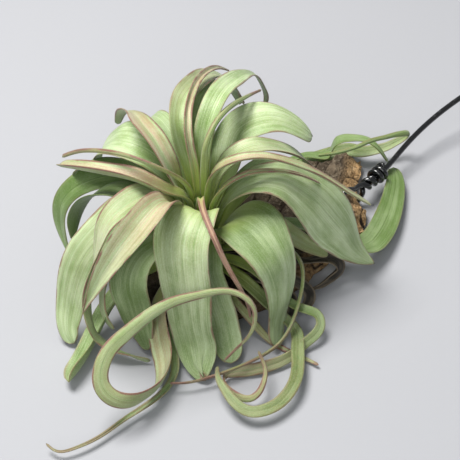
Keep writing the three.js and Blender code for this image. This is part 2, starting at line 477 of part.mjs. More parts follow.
function addPiece(name, geometry, colour, roughness = 0.8) {
  const material = new THREE.MeshStandardMaterial({ color: colour, roughness, metalness: 0 });
  const mesh = new THREE.Mesh(geometry, material);
  mesh.name = name;
  plant.add(mesh);
}

// Bark: rings across the slab, each a flat underside and a ridged, slightly domed top, joined end to end.
const BARK_TOP_POINTS = 13;
function barkTop(x, y, left, right) {
  const brokenEdge = Math.max(0, 1 - (right - x) / 9) ** 2;
  const wornEdge = Math.max(0, 1 - (x - left) / 7) ** 2;
  const ridges = Math.sin(0.42 * x - 0.3 * y + 1.6 * Math.sin(0.09 * y)) + 0.6 * Math.sin(0.21 * x + 0.37 * y + 1);
  const aroundStem = Math.min(1, Math.hypot(x, y) / 17) ** 4;
  return BARK_THICKNESS - 8 * brokenEdge - 4 * wornEdge + BARK_ROUGHNESS * ridges * aroundStem;
}

function barkGeometry() {
  const points = [];
  const ring = BARK_TOP_POINTS + 2;
  for (const [y, left, right] of BARK_OUTLINE) {
    const inset = 1.5 + 0.8 * Math.sin(0.5 * y);
    points.push(new THREE.Vector3(left + inset, y, 0), new THREE.Vector3(right - inset, y, 0));
    for (let k = 0; k < BARK_TOP_POINTS; k++) {
      const u = 0.5 + 0.5 * Math.cos((Math.PI * k) / (BARK_TOP_POINTS - 1));
      const x = left + (right - left) * u;
      points.push(new THREE.Vector3(x, y + 0.8 * Math.sin(1.3 * x), barkTop(x, y, left, right)));
    }
  }
  const faces = [];
  const last = BARK_OUTLINE.length - 1;
  for (let i = 0; i < last; i++) {
    for (let k = 0; k < ring; k++) {
      const a = i * ring + k;
      const b = i * ring + ((k + 1) % ring);
      faces.push(a, b + ring, b, a, a + ring, b + ring);
    }
  }
  for (let k = 1; k + 1 < ring; k++) {
    faces.push(0, k, k + 1);
    faces.push(last * ring, last * ring + k + 1, last * ring + k);
  }
  const geometry = new THREE.BufferGeometry().setFromPoints(points);
  geometry.setIndex(faces);
  return geometry;
}

// Wire: one smooth path from the hook to the cut end of the winding, and a round section drawn along it.
class SplinePath extends THREE.Curve {
  constructor(points) {
    super();
    this.points = splinePoints(points, 600);
    this.arcLengthDivisions = 600;
  }

  getPoint(t, target = new THREE.Vector3()) {
    const x = Math.min(Math.max(t, 0), 1) * 600;
    const i = Math.min(Math.floor(x), 599);
    return target.lerpVectors(this.points[i], this.points[i + 1], x - i);
  }
}

function wirePath() {
  const axis = new THREE.Vector3(...WRAP_DIRECTION).normalize();
  const start = new THREE.Vector3(...WRAP_START);
  const down = new THREE.Vector3(0, 0, -1);
  const sideways = axis.clone().cross(down);
  const wrapped = (turn) => THREE.MathUtils.smoothstep(turn, ...TWIST_TO_WRAP);
  const strandPoint = (turn, isFirst) => {
    let advance = 0.87;
    const slices = Math.ceil(turn * 100);
    for (let k = 0; k < slices; k++) {
      const pitch = THREE.MathUtils.lerp(TWIST_PITCH, WRAP_PITCH, wrapped(((k + 0.5) * turn) / slices));
      advance += (pitch * turn) / slices;
    }
    const radius = isFirst
      ? -TWIST_RADIUS * (1 - wrapped(turn))
      : THREE.MathUtils.lerp(TWIST_RADIUS, WRAP_RADIUS, wrapped(turn));
    const angle = 2 * Math.PI * turn;
    return start.clone().addScaledVector(axis, advance)
      .addScaledVector(down, radius * Math.cos(angle))
      .addScaledVector(sideways, radius * Math.sin(angle))
      .toArray();
  };
  const first = [strandPoint(WRAP_TURNS + 0.6, true)];
  for (let k = Math.ceil(TWIST_TO_WRAP[1] * 8); k >= 0; k--) first.push(strandPoint(k / 8, true));
  const second = [];
  for (let k = 0; k <= WRAP_TURNS * 8; k++) second.push(strandPoint(k / 8, false));
  return new SplinePath([...WIRE_LEAD, ...first, ...WIRE_THROUGH_BARK, ...second]);
}

function wireGeometry(radius, steps) {
  const section = new THREE.Shape();
  for (let k = 0; k < 8; k++) {
    const angle = (2 * Math.PI * (k + 0.5)) / 8;
    if (k === 0) section.moveTo(radius * Math.cos(angle), radius * Math.sin(angle));
    else section.lineTo(radius * Math.cos(angle), radius * Math.sin(angle));
  }
  section.closePath();
  return new THREE.ExtrudeGeometry(section, { steps, extrudePath: wirePath() });
}

// The stem, a short bulb that the leaf bases stand round.
function stemGeometry(grow) {
  const profile = STEM_PROFILE.map(([r, z]) => new THREE.Vector2(r > 0 ? r + grow : 0, z));
  profile[0].y -= grow;
  profile[1].y -= grow;
  profile[profile.length - 1].y += grow;
  return new THREE.LatheGeometry(profile, 20).rotateX(Math.PI / 2);
}

addPiece('stem', toGeometry(toSolid(stemGeometry(0))), FRESH);
const taken = [toSolid(stemGeometry(CLEARANCE))];
const overlaps = (a, b) => [0, 1, 2].every((k) => a.min[k] < b.max[k] && b.min[k] < a.max[k]);
for (const [name, leaf] of Object.entries(LEAVES)) {
  let solid = toSolid(leafGeometry(leaf));
  const box = solid.boundingBox();
  for (const other of taken) {
    if (overlaps(box, other.boundingBox())) solid = solid.subtract(other);
  }
  addPiece(name, toGeometry(largest(solid)), leaf.colour);
  taken.push(toSolid(leafGeometry(leaf, CLEARANCE)));
}

const holeInBark = toSolid(new THREE.CylinderGeometry(WIRE_HOLE_RADIUS, WIRE_HOLE_RADIUS, 60, 10)
  .rotateX(Math.PI / 2).translate(WIRE_HOLE[0], WIRE_HOLE[1], 0));
const wireRoom = toSolid(wireGeometry(WIRE_RADIUS + CLEARANCE, WIRE_STEPS));
addPiece('cork_bark', toGeometry(largest(toSolid(barkGeometry()).subtract(holeInBark).subtract(wireRoom))), BARK, 0.95);
addPiece('hanging_wire', toGeometry(toSolid(wireGeometry(WIRE_RADIUS, WIRE_STEPS))), BLACK, 0.25);

export default plant;
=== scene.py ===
"""Looks of an air plant that grows on a slab of cork bark, with the stiff black wire the slab is hung by.

It is laid out as an add-on: the sizes and colours are properties, each group of like pieces has an operator,
and a panel in the sidebar lists them. Lengths in the tables are millimetres; the pieces are made in metres.
"""

import math

import bpy
import numpy as np
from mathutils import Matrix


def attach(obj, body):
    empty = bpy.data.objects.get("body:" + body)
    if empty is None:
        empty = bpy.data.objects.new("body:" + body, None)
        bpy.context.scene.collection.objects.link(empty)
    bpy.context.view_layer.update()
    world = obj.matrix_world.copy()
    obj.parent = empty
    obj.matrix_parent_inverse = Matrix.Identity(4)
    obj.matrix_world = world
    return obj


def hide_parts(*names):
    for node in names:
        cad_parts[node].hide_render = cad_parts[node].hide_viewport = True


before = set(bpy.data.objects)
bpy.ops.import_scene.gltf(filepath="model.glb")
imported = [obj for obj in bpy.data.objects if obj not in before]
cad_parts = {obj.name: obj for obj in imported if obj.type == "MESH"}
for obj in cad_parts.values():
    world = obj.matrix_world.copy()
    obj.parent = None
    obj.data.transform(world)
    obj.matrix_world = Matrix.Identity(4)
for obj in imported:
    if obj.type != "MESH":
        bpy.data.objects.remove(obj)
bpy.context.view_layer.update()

bl_info = {
    "name": "Air plant on cork bark",
    "version": (1, 0, 0),
    "blender": (4, 5, 0),
    "location": "View3D > Sidebar > Air plant",
    "description": "Leaves, stem, bark and hanging wire of an air plant, around its solid parts",
    "category": "Add Mesh",
}

MM = 0.001

# Each leaf: spine, the points along its middle from the stem to the tip, mm; width, its full widths at equal
# steps, mm; fold, how far its margins are raised into a gutter, and roll, its turn about its own spine, in
# degrees. fresh, pink, old and deep say, from 0 to 1 at equal steps, how far its colour goes towards each of
# those, and torn how jagged its tip is, mm. deep is painted shade: a darker green laid where other leaves
# shade the leaf. What a leaf's table leaves out is 0.

# Slim inner leaves, flushed pink.
HEART_LEAVES = {
    "heart_needle": dict(spine=[(-0.3, -4, 50), (0.8, -5.5, 58.5), (2.4, -21.3, 67.8), (7, -35, 65.6),
        (12.3, -40.5, 54.8), (18.5, -44, 42.5), (21.5, -44.7, 34.2), (23, -46, 26)],
        width=[3.4, 4, 3.6, 3, 2, 1], fold=[40, 45, 30], fresh=[0.5, 0.1, 0, 0], pink=[0.8, 1, 1, 1, 1]),
    "top_thin_leaf": dict(spine=[(2.5, 1.5, 51), (2.5, 0, 62), (3, -1.2, 75.5), (4, 0.3, 86), (7, 5.3, 92),
        (12, 14, 94), (17.5, 23.8, 91.8), (23, 35, 86.5), (28.5, 45.2, 81.3)],
        width=[4, 4.5, 4.5, 4, 3.5, 3, 2, 1], fold=[40, 50, 45], fresh=[1, 0.6, 0.3, 0.2],
        pink=[0, 0.3, 0.5, 0.4, 0.5]),
    "top_pink_leaf": dict(spine=[(-1.5, 3, 51), (-1.5, 2.5, 61), (-3, 3, 76), (-5, 8.5, 88), (-4.5, 20, 93),
        (-2, 34.5, 92), (2.5, 50.5, 87), (8, 64.5, 79), (13.5, 75.5, 69)],
        width=[4.5, 5.5, 5.5, 5.5, 5, 4.5, 4, 3, 1], fold=[35, 45, 30], fresh=[1, 0.3, 0.1, 0.2],
        pink=[0, 0.5, 0.72, 0.72, 0.5, 0.3]),
    "left_upper_ray": dict(spine=[(-3.8, 0.5, 50.5), (-5, -1.5, 61.5), (-14, -6.8, 76.8), (-25, -5.3, 81.9),
        (-36.5, 1, 80.6), (-48.5, 9, 75.1), (-56, 15.5, 68.6), (-63, 20, 62.1)],
        width=[4, 5, 4.5, 4, 3.8, 3.2, 2.6], fold=[35, 55, 50], roll=[0, -20, -30], fresh=[1, 0.4, 0.1, 0],
        pink=[0.1, 0.6, 0.85, 0.9, 1], old=[0, 0, 0.2]),
    "left_lower_ray": dict(spine=[(-4, -2.5, 49), (-6.5, -4.5, 59.5), (-15, -9, 67.3), (-25, -8, 72.3),
        (-38.5, -3.5, 72.8), (-52.5, 3.5, 69.8), (-63.5, 12.5, 63.8)],
        width=[5, 8, 11.5, 13, 12, 10, 6], fold=[30, 38, 35], fresh=[1, 0.4, 0.1, 0],
        pink=[0.1, 0.6, 0.8, 0.6, 0.5], old=[0, 0, 0.1]),
    "right_pink_leaf": dict(spine=[(4, -1, 50), (5, -1.5, 60), (9, -4, 75.5), (18.5, -5.5, 83),
        (29, -4.5, 83), (40, -3.5, 79), (51.5, -1, 71), (64.5, 0.5, 60), (78.5, 4, 47)],
        width=[5.5, 7, 7.5, 7, 6.5, 6, 5, 2.5], fold=[30, 35, 25], fresh=[1, 0.3, 0.1, 0.3, 0.4],
        pink=[0, 0.45, 0.7, 0.7, 0.5, 0.3, 0.2]),
    "right_strip_leaf": dict(spine=[(5.5, -3.5, 46), (7.5, -4.5, 57), (12.5, -6.5, 68), (20.5, -7, 75),
        (31.5, -5.5, 76), (42.5, -2.5, 72), (54.5, 3, 61.5)],
        width=[5, 6, 6, 5, 4, 3, 1], fold=[30, 35, 30], fresh=[1, 0.4, 0.2, 0.2],
        pink=[0, 0.4, 0.5, 0.4, 0.3]),
    "left_inner_leaf": dict(spine=[(-4.9, -4.1, 46.5), (-10, -10, 60), (-17, -23, 72), (-23.5, -34, 71.5),
        (-31.5, -39, 62.5), (-39.5, -40.5, 49.5), (-46, -42.5, 37.5), (-50.5, -45, 28.5)],
        width=[5, 8, 14, 16, 14, 9, 1.5], fold=[25, 35, 30, 35, 45], fresh=[0.6, 0.1, 0, 0.1, 0.2],
        pink=[0.6, 0.85, 0.7, 0.45, 0.2, 0.1]),
    "upper_left_leaf": dict(spine=[(-5.8, 2, 44), (-9.5, 2.5, 59), (-14, 1.5, 74.5), (-20, 7.5, 84),
        (-25, 15.5, 85), (-29.5, 26.5, 82), (-34.5, 36, 76), (-37.5, 42.5, 68), (-39.5, 46, 60)],
        width=[6, 8, 12, 13, 11.5, 8, 6, 3], fold=[25, 22, 10], roll=[0, 20, 25, 10],
        fresh=[0.8, 0.2, 0.1, 0.1], pink=[0, 0.5, 0.75, 0.45, 0.1]),
}

# Broad silvery leaves that arch out of the heart.
ARCHING_LEAVES = {
    "top_wide_leaf": dict(spine=[(1.5, 5, 48.5), (2, 6.5, 60), (2, 7.5, 77), (3.5, 11, 88), (7.5, 20, 95.1),
        (13.5, 35.5, 92.6), (20, 52.5, 84.6), (26, 66, 73.6), (30, 73.5, 61), (32, 77.5, 51),
        (31, 80, 42)],
        width=[5, 7, 9, 10.5, 11, 11, 9, 6, 5, 4, 1.5], fold=[30, 20, 6, 0], roll=[0, 0, 0, -10, -20, -20],
        fresh=[1, 0.5, 0.25, 0.2, 0.4], deep=[0.1, 0, 0, 0.4, 0.9]),
    "front_wide_leaf": dict(spine=[(1.5, -6.5, 43), (1.5, -9.5, 54.5), (-2, -18, 62.3), (-6.5, -31, 60),
        (-6.5, -39.5, 50), (-5, -45, 37), (-3.5, -48.5, 21), (-1.5, -51.5, 11.5), (-0.8, -55, 7.3),
        (0.3, -58, 5), (1.5, -60.2, 3.8)],
        width=[7, 12, 22, 27, 26, 24, 23, 21.5, 20.5, 19, 11], fold=[25, 16, 4, -6, -4, -4],
        fresh=[1, 0.35, 0.1, 0.1, 0.2], pink=[0, 0.1, 0.05, 0], deep=[0, 0.1, 0.3, 0.35, 0.35], torn=3.2),
    "top_left_leaf": dict(spine=[(-2.5, 5.5, 46), (-3, 7.5, 60), (-6, 10.5, 75), (-8.5, 14, 86),
        (-8, 24, 90), (-3.5, 39, 88), (2.5, 57, 80), (9, 72.5, 68), (15, 82.5, 54), (21, 85.5, 40)],
        width=[6, 8, 10, 11, 11, 10, 8, 6, 2], fold=[25, 20, 8], fresh=[1, 0.4, 0.2, 0.2],
        pink=[0, 0.1, 0.3, 0.2, 0.1]),
    "right_upper_leaf": dict(spine=[(5.8, 2.5, 44), (8.5, 3.5, 59), (14, 2.5, 74.5), (23, 5, 80),
        (34, 10, 76), (44.5, 16.5, 66), (52.5, 23, 52)],
        width=[6, 10, 13, 13, 13, 12, 10], fold=[25, 20, 8], fresh=[1, 0.4, 0.2, 0.1],
        pink=[0, 0.15, 0.2, 0.1]),
    "right_back_wide_leaf": dict(spine=[(5, 6.8, 40), (9.5, 11, 55), (13.5, 14.5, 67.5), (17, 24, 74),
        (25.5, 27, 79), (34.5, 28.5, 79), (42.5, 29, 75), (48.5, 29, 70), (52, 31, 65)],
        width=[6, 9, 15, 20, 21, 20, 18, 14, 6], fold=[25, 14, 0, -6], fresh=[1, 0.4, 0.15, 0.1],
        pink=[0, 0.05, 0]),
    "right_big_leaf": dict(spine=[(8, -1.5, 38), (12, -2.5, 54), (18.5, -4, 65.2), (28, -5, 71.5),
        (36, -5, 71), (44, -4, 65), (52, -3.5, 57), (60, -3, 45.2), (67, -1.5, 33.2), (73, -0.5, 22),
        (78, 0, 16), (82.5, 0.3, 12)],
        width=[7, 8, 10, 12.5, 16, 21, 26, 27.5, 25.5, 20.5, 11.5, 1.2], fold=[25, 12, 0, -6, -6],
        roll=[0, -8, -22, -30, -42, -48, -45, -40], fresh=[1, 0.35, 0, 0, 0.2], pink=[0, 0.05, 0, 0],
        deep=[0.3, 0.35, 0.05, 0, 0.25]),
    "top_back_leaf": dict(spine=[(-0.8, 8, 40), (-1.5, 14.5, 56), (-0.5, 19.5, 71), (0.5, 27, 79.5),
        (3, 39, 82), (8, 56.5, 74.5), (14.5, 71.5, 61), (19, 78, 46)],
        width=[5, 7, 10, 13, 12, 10, 7, 2], fold=[25, 18, 8], fresh=[0.8, 0.4, 0.3], deep=[0.4, 0.3, 0.4]),
    "left_middle_leaf": dict(spine=[(-7.2, -3.2, 39), (-13.5, -5.8, 56), (-21.5, -11, 66.5),
        (-30, -19.5, 69.5), (-38, -26, 65), (-42, -30, 56), (-45, -34, 45.5), (-48, -37, 34),
        (-49, -39.5, 23.5), (-47, -44, 15.5), (-44, -45, 10), (-37.5, -47.5, 6.5), (-29.5, -49.5, 4),
        (-22, -51, 2.5)],
        width=[6, 9, 14, 15, 14, 12, 10, 8.5, 8, 8, 7, 3], fold=[25, 18, 8],
        roll=[0, 0, 0, -20, -60, -70, -40, 0], fresh=[0.6, 0.1, 0.1, 0.3], pink=[0.1, 0.3, 0.3, 0.1],
        deep=[0, 0, 0.1, 0.3, 0.2]),
    "left_back_wide_leaf": dict(spine=[(-7.4, 4.8, 39), (-12.3, 9.3, 57), (-21.5, 13, 71),
        (-33.6, 18.5, 73), (-42.6, 27, 63.5), (-48.6, 34.5, 48), (-50.6, 37, 31)],
        width=[6, 10, 19, 22, 18, 12, 3], fold=[25, 12, 5], fresh=[0.6, 0.2, 0.1]),
    "left_outer_leaf": dict(spine=[(-8.4, -4.8, 34), (-15, -7.5, 51.5), (-22.5, -10, 59.5),
        (-31, -14.5, 60.8), (-39.7, -19.5, 55), (-49.7, -24, 44.5), (-56.2, -28, 30), (-59.7, -33, 15),
        (-59.7, -38.5, 6.5), (-57.2, -41.5, 3)],
        width=[6, 9, 15, 19, 20, 19, 18, 16, 13, 7], fold=[25, 14, 0, -8, -8], roll=[0, 0, 20, 35, 40, 40],
        fresh=[0.6, 0.15, 0.1, 0.2], pink=[0, 0.1, 0.1, 0]),
    "right_front_leaf": dict(spine=[(8, -4.5, 34), (14.5, -9, 48.5), (20.5, -14.5, 53.5), (28.3, -23.5, 53),
        (34.3, -30, 46.5), (37.3, -32.5, 34), (37.3, -33.5, 20), (36, -34, 12.5), (35, -38.5, 8),
        (34.5, -45, 5)],
        width=[8, 16, 28, 30, 26, 22, 18.5, 15.5, 12.5, 9], fold=[25, 10, -4, -8, 0], roll=[0, 0, 5, 5, 0],
        fresh=[0.8, 0.5, 0.2, 0.1, 0.2], deep=[0.6, 0.9, 0.85, 0.45, 0.15, 0.1, 0.3, 0.5]),
    "looping_leaf": dict(spine=[(-3.5, -9.2, 24), (-12, -20, 20.5), (-18, -33, 13.5), (-17, -44, 9.5),
        (-14.5, -57, 8.5), (-16.3, -70, 10), (-22.5, -79.5, 13), (-29, -85, 17), (-36, -85.5, 21),
        (-40, -82.5, 26), (-40, -78, 31), (-36.5, -72, 36), (-29.5, -66.5, 40), (-20, -60, 44),
        (-9.5, -54, 46), (2.8, -50.5, 47), (12.3, -49, 47), (19.8, -50.5, 45), (24.3, -53, 40),
        (24.8, -55.5, 34), (22.3, -58, 28), (17.3, -59.5, 22), (11.3, -62, 16)],
        width=[7, 10, 12, 12, 10, 8, 7, 6.5, 5.5, 4, 3, 2, 1], fold=[25, 15, 10, 30, 40],
        roll=[0, 0, 0, -20, -50, -60, -60, -60, -50, -40], fresh=[0.4, 0.1, 0, 0.05, 0.2],
        pink=[0.5, 0.6, 0.5, 0.45, 0.35, 0.55, 0.75], old=[0.3, 0.2, 0]),
}

# Greener leaves below and behind them.
LOW_LEAVES = {
    "left_back_low_leaf": dict(spine=[(-9, 0.6, 36), (-16, 2.5, 50.5), (-21.5, 4.5, 59.5), (-28.5, 7, 63.5),
        (-38, 11.5, 63.5), (-49, 17.5, 59.5), (-56, 22, 53), (-60, 25.5, 45)],
        width=[5, 7, 11, 13, 12, 10, 7, 2], fold=[25, 14, 8], fresh=[0.7, 0.4, 0.3], deep=[0.4, 0.4, 0.5]),
    "front_under_leaf": dict(spine=[(3.5, -8.5, 33), (3.5, -13.5, 43), (4, -20.5, 47.5), (4.5, -27, 45),
        (4.5, -32, 40), (6.5, -35, 33.5), (8, -37.5, 27), (10, -38.5, 20), (11.5, -40.5, 13),
        (13, -45, 7.5), (14, -49.5, 4), (14.5, -53, 3)],
        width=[7, 10, 12, 13, 13.5, 14, 14, 13.5, 10], fold=[25, 10, 0], fresh=[0.6, 0.4, 0.3],
        deep=[0.2, 0.3, 0.3, 0.1]),
    "left_low_leaf": dict(spine=[(-3.6, -9, 30), (-9.5, -15.8, 42), (-19, -21, 46.5), (-26.5, -25.5, 43),
        (-30.5, -29.5, 36), (-31, -32, 29), (-29.5, -34, 21.5), (-28, -36, 13.5), (-25.5, -40, 7.5),
        (-23, -46, 4)],
        width=[6, 11, 16, 18.5, 19.5, 18, 15, 6], fold=[25, 8, -4], roll=[0, 0, 10, 25, 40, 40, 30],
        fresh=[0.6, 0.4, 0.2], deep=[0.4, 0.3, 0.6, 0.8]),
    "upper_left_back_leaf": dict(spine=[(-4.5, 8.5, 33), (-9, 20, 55), (-14, 28, 66.5), (-19.5, 37, 68.5),
        (-25, 48, 61), (-28, 55, 46), (-28, 58, 30)],
        width=[7, 11, 14, 13, 9, 2], fold=[25, 12, 5], fresh=[0.5, 0.3, 0.3], deep=[0.4, 0.3, 0.2]),
    "back_middle_leaf": dict(spine=[(2.5, 9.5, 31), (5, 20, 49), (8, 33, 57), (12, 48, 52), (15, 59, 40),
        (16, 65, 27)],
        width=[7, 10, 14, 14, 12, 8, 2], fold=[25, 12, 5], fresh=[0.5, 0.4, 0.4], deep=[0.4, 0.3, 0.3]),
    "back_left_low_leaf": dict(spine=[(-7.2, 7, 26), (-17, 18, 42), (-28, 31, 46), (-38, 43, 38),
        (-44, 51, 24), (-45, 54, 10)],
        width=[7, 11, 15, 15, 12, 8, 2], fold=[25, 12, 5], fresh=[0.5, 0.4, 0.4], old=[0, 0, 0.2],
        deep=[0.5, 0.4, 0.4]),
    "back_right_low_leaf": dict(spine=[(7.5, 6.5, 28), (18, 16, 43), (31, 27, 49), (43, 38, 42),
        (50, 46, 30), (51, 50, 21)],
        width=[7, 11, 15, 14, 11, 8, 2], fold=[25, 12, 5], fresh=[0.5, 0.4, 0.4], old=[0, 0, 0.2],
        deep=[0.5, 0.5, 0.5]),
    "left_low_thin_leaf": dict(spine=[(-8.2, -6, 25), (-20, -13, 35), (-34, -17, 35.5), (-42, -23, 28),
        (-44, -29, 19), (-42.5, -34.5, 13.3), (-38.5, -39, 10)],
        width=[6, 8, 8, 7, 6, 5, 2], fold=[25, 10, 4], fresh=[0.4, 0.3, 0.2], old=[0.1, 0.2, 0.3],
        deep=[0.5, 0.6, 0.6]),
    "gutter_leaf": dict(spine=[(-8.4, -5.2, 21), (-24, -14, 21.5), (-38.5, -23.5, 13), (-46, -38, 6.8),
        (-51, -53, 5.5), (-57, -66, 6)],
        width=[6, 9, 12, 13, 12], fold=[25, 40, 50], roll=[0, -10, -25], fresh=[0.7, 0.6, 0.4],
        pink=[0, 0, 0.1], deep=[0.3, 0.4, 0.5]),
    "far_right_leaf": dict(spine=[(9.4, 3.2, 23), (26, 12, 23), (42, 15.5, 22.5), (57, 13, 20.5),
        (69, 9.5, 17.5), (76.5, 10.5, 13.5), (81.3, 14.5, 10.8), (87, 23.5, 9), (92.3, 36, 7.6),
        (96, 48, 7), (98.3, 58, 7), (99.3, 66.5, 7.2), (98.5, 73, 8)],
        width=[5, 9, 11, 12, 12.5, 13, 13.5, 13.5, 12.5, 11, 7], fold=[25, 10, 4], fresh=[0.7, 0.8, 0.7, 0.9],
        deep=[0.8, 0.85, 0.75, 0.85]),
}

# Leaves that end in a curl.
CURLING_LEAVES = {
    "left_near_curl": dict(spine=[(-9.6, -1.8, 30), (-17, -3, 45), (-25.7, -3.2, 54.5), (-34.7, -1.2, 59),
        (-44.7, 2, 56.3), (-52.7, 5, 47.5), (-58.2, 6, 34.5), (-60, 4.5, 24)],
        width=[5, 7, 13, 17, 18, 15, 10, 2], fold=[25, 14, 8], roll=[0, 0, -10, -20], fresh=[0.7, 0.9, 0.8],
        deep=[0.6, 0.8, 0.95, 0.8]),
    "left_far_curl": dict(spine=[(-8.8, 4, 28), (-15.5, 11.5, 41.5), (-23, 15.5, 49), (-31.2, 17.5, 51.7),
        (-41.7, 18.5, 52.2), (-52.2, 18.5, 48.7), (-61.2, 17.5, 42.2), (-65.7, 16, 34.5),
        (-66.2, 12.5, 24), (-63.2, 6, 14)],
        width=[5, 7, 12, 13, 14, 14, 12, 10, 7, 2], fold=[25, 14, 8], roll=[0, 5, 15, 30],
        fresh=[0.7, 1, 0.9], deep=[0.4, 0.8, 0.8, 0.7]),
    "right_curl": dict(spine=[(8.6, -5, 22), (26, -14.5, 22), (40, -25, 14), (49.5, -30, 13), (54, -31, 11),
        (55.3, -34, 8.5), (53, -38.5, 6.5), (48, -42.5, 4.7), (42.5, -48.5, 4.5), (35.5, -53, 4),
        (25, -56.5, 3.5), (16.5, -58, 3.3), (11.5, -60.3, 3.4), (11.5, -64.3, 3.5), (14.5, -69.5, 4),
        (18.5, -73, 4.5), (22.5, -74.5, 5.5), (26, -73, 7), (28.5, -69, 9), (29.5, -63, 11),
        (28, -57.5, 12), (26.5, -53, 12)],
        width=[6, 7, 6.5, 5.5, 5, 4.8, 5.3, 5.2, 5.6, 6, 5.6, 3, 3.4, 3, 2, 1.2], fold=[25, 10, 5],
        roll=[0, 0, -20, -15, -10, 55, 60], fresh=[0.6, 0.7, 0.6, 0.4, 0.2, 0],
        pink=[0, 0, 0.1, 0.4, 0.8, 0.9], old=[0, 0, 0, 0.1, 0.2], deep=[0.6, 0.5, 0.5, 0.6, 0.3, 0]),
    "bottom_curl": dict(spine=[(7.2, -7.4, 20.5), (22, -18.5, 18), (36, -28, 8.8), (44, -36.8, 6.5),
        (44.5, -47, 6.5), (44, -58.5, 7.5), (41.5, -69, 8), (36, -77, 7), (29.5, -81.5, 7),
        (22.5, -82.5, 7), (16, -78.5, 8), (11.5, -72, 9), (8.5, -65, 9.5), (8.5, -59.5, 9.5)],
        width=[6, 7.5, 7, 6, 6.3, 6.5, 6, 5.8, 5.2, 4, 1.5], fold=[25, 10, 5], roll=[0, 0, 10, 20, 20],
        fresh=[0.6, 0.5, 0.4], pink=[0, 0, 0.1], old=[0.2, 0.3, 0.4, 0.2], deep=[0.7, 0.8, 0.9, 0.9, 0.7]),
    "whisker_leaf": dict(spine=[(-4.2, -8.2, 21), (-9, -20, 18), (-11.5, -34, 11), (-11.5, -46, 5),
        (-10.5, -57, 3.2), (-14, -68, 3.2), (-21, -76, 3.5), (-31.5, -84.5, 3.5), (-41.5, -93.5, 3.5),
        (-51.5, -99.5, 4), (-59, -101, 4), (-64, -97.5, 5)],
        width=[6, 6, 5, 5, 4, 3, 2, 1], fold=[25, 45, 45], roll=[0, 20, 20], fresh=[0.6, 0.4, 0.3],
        pink=[0, 0.1], old=[0, 0, 0.2], deep=[0.4, 0.4, 0.3]),
    "back_curl": dict(spine=[(4.6, 9, 26), (12, 29, 30), (21, 47, 25), (32, 63, 16), (44, 76, 9.5),
        (56, 82, 8), (66.5, 82.5, 8.5), (68, 83, 12.5), (69.5, 83, 16.5), (72.5, 83, 18.5),
        (77, 82.5, 19.5), (82.5, 81.5, 20), (87.5, 79, 19.5), (91.5, 77.5, 16), (94.5, 77, 11.5),
        (96.5, 77.5, 8)],
        width=[5, 5, 5, 4.5, 4, 4, 4, 5.5, 9, 9.5, 7.5, 4, 1], fold=[25, 10, 10], fresh=[0.8, 0.9, 1, 0.9],
        deep=[0.4, 0.5, 0.6, 0.4]),
    "back_hook": dict(spine=[(1.5, 9.8, 21.5), (5, 30, 18), (12, 47, 13), (22, 62, 7.5), (32, 73.5, 4),
        (44, 80.5, 2.8), (56, 85, 3), (68, 88.3, 4), (77.5, 90, 5.2), (83, 86.5, 7), (90, 86.5, 8),
        (96.5, 88, 9), (101.5, 90, 10.5), (106, 91.5, 12.5), (108, 90.5, 16), (105.5, 86, 20.5),
        (99, 80.5, 23.5), (92.5, 75.5, 25.5), (86, 71.5, 27), (79.5, 67.5, 27), (74.5, 65, 27),
        (66, 62, 27), (58, 60.5, 27)],
        width=[5, 6, 6, 6, 6, 5.5, 5.5, 7.5, 8, 6.5, 5, 4, 3.5, 3.5, 3, 2], fold=[25, 25, 15, 10, 25, 50, 50],
        roll=[0, 0, 0, 0, 0, 0, -35, -60, -60, -50, -30, 0, 0, 0], fresh=[0.7, 0.7, 0.6], pink=[0, 0.1, 0.2],
        old=[0, 0, 0.1], deep=[0.4, 0.4, 0.3]),
}

# Ageing leaves low on the stem.
OLD_LEAVES = {
    "khaki_leaf": dict(spine=[(9.6, 0.6, 27.5), (20, 4, 33.5), (29, 6.5, 35), (39.5, 4.5, 29.5),
        (50.5, 2, 23), (60.5, 1, 17.5)],
        width=[6, 10, 14, 13, 8], fold=[25, 10, 5], fresh=[0.5, 0.4], pink=[0, 0.1, 0.1], old=[0.3, 0.5, 0.5],
        deep=[0.1, 0]),
    "right_sweeping_leaf": dict(spine=[(9.5, -3, 25), (25, -6.5, 30), (39, -8.5, 31.5), (46, -16, 28),
        (46.5, -21.5, 22.8), (44.5, -30, 18), (41.5, -37.5, 13.3), (36, -46, 10), (28.5, -52, 8.5),
        (18.5, -57.5, 7.5), (5, -63, 6.5), (-6, -66, 6), (-13, -66.5, 6.3)],
        width=[6, 6, 6, 5, 4.5, 4, 3.5, 3, 2.6, 2, 1.2], fold=[25, 40, 40], roll=[0, 40, 50, 50, 40],
        fresh=[0.5, 0.5, 0.3, 0.2], pink=[0, 0.1, 0.3, 0.5], old=[0.3, 0.2, 0.3, 0.4],
        deep=[0.5, 0.3, 0.5, 0.4, 0.2]),
    "right_low_thin_leaf": dict(spine=[(4.4, -8.3, 17), (12, -21.5, 17.3), (24, -32.5, 8.5), (33, -39, 1.6),
        (42.5, -45.3, 1), (49.5, -50, 1.6), (54, -53.5, 2.4)],
        width=[4, 4.5, 4.5, 4, 3, 2.4, 1.4], fold=[20, 5, 5], fresh=[0.2, 0.1, 0], pink=[0.1, 0.3, 0.4],
        old=[0.5, 0.6, 0.5]),
}

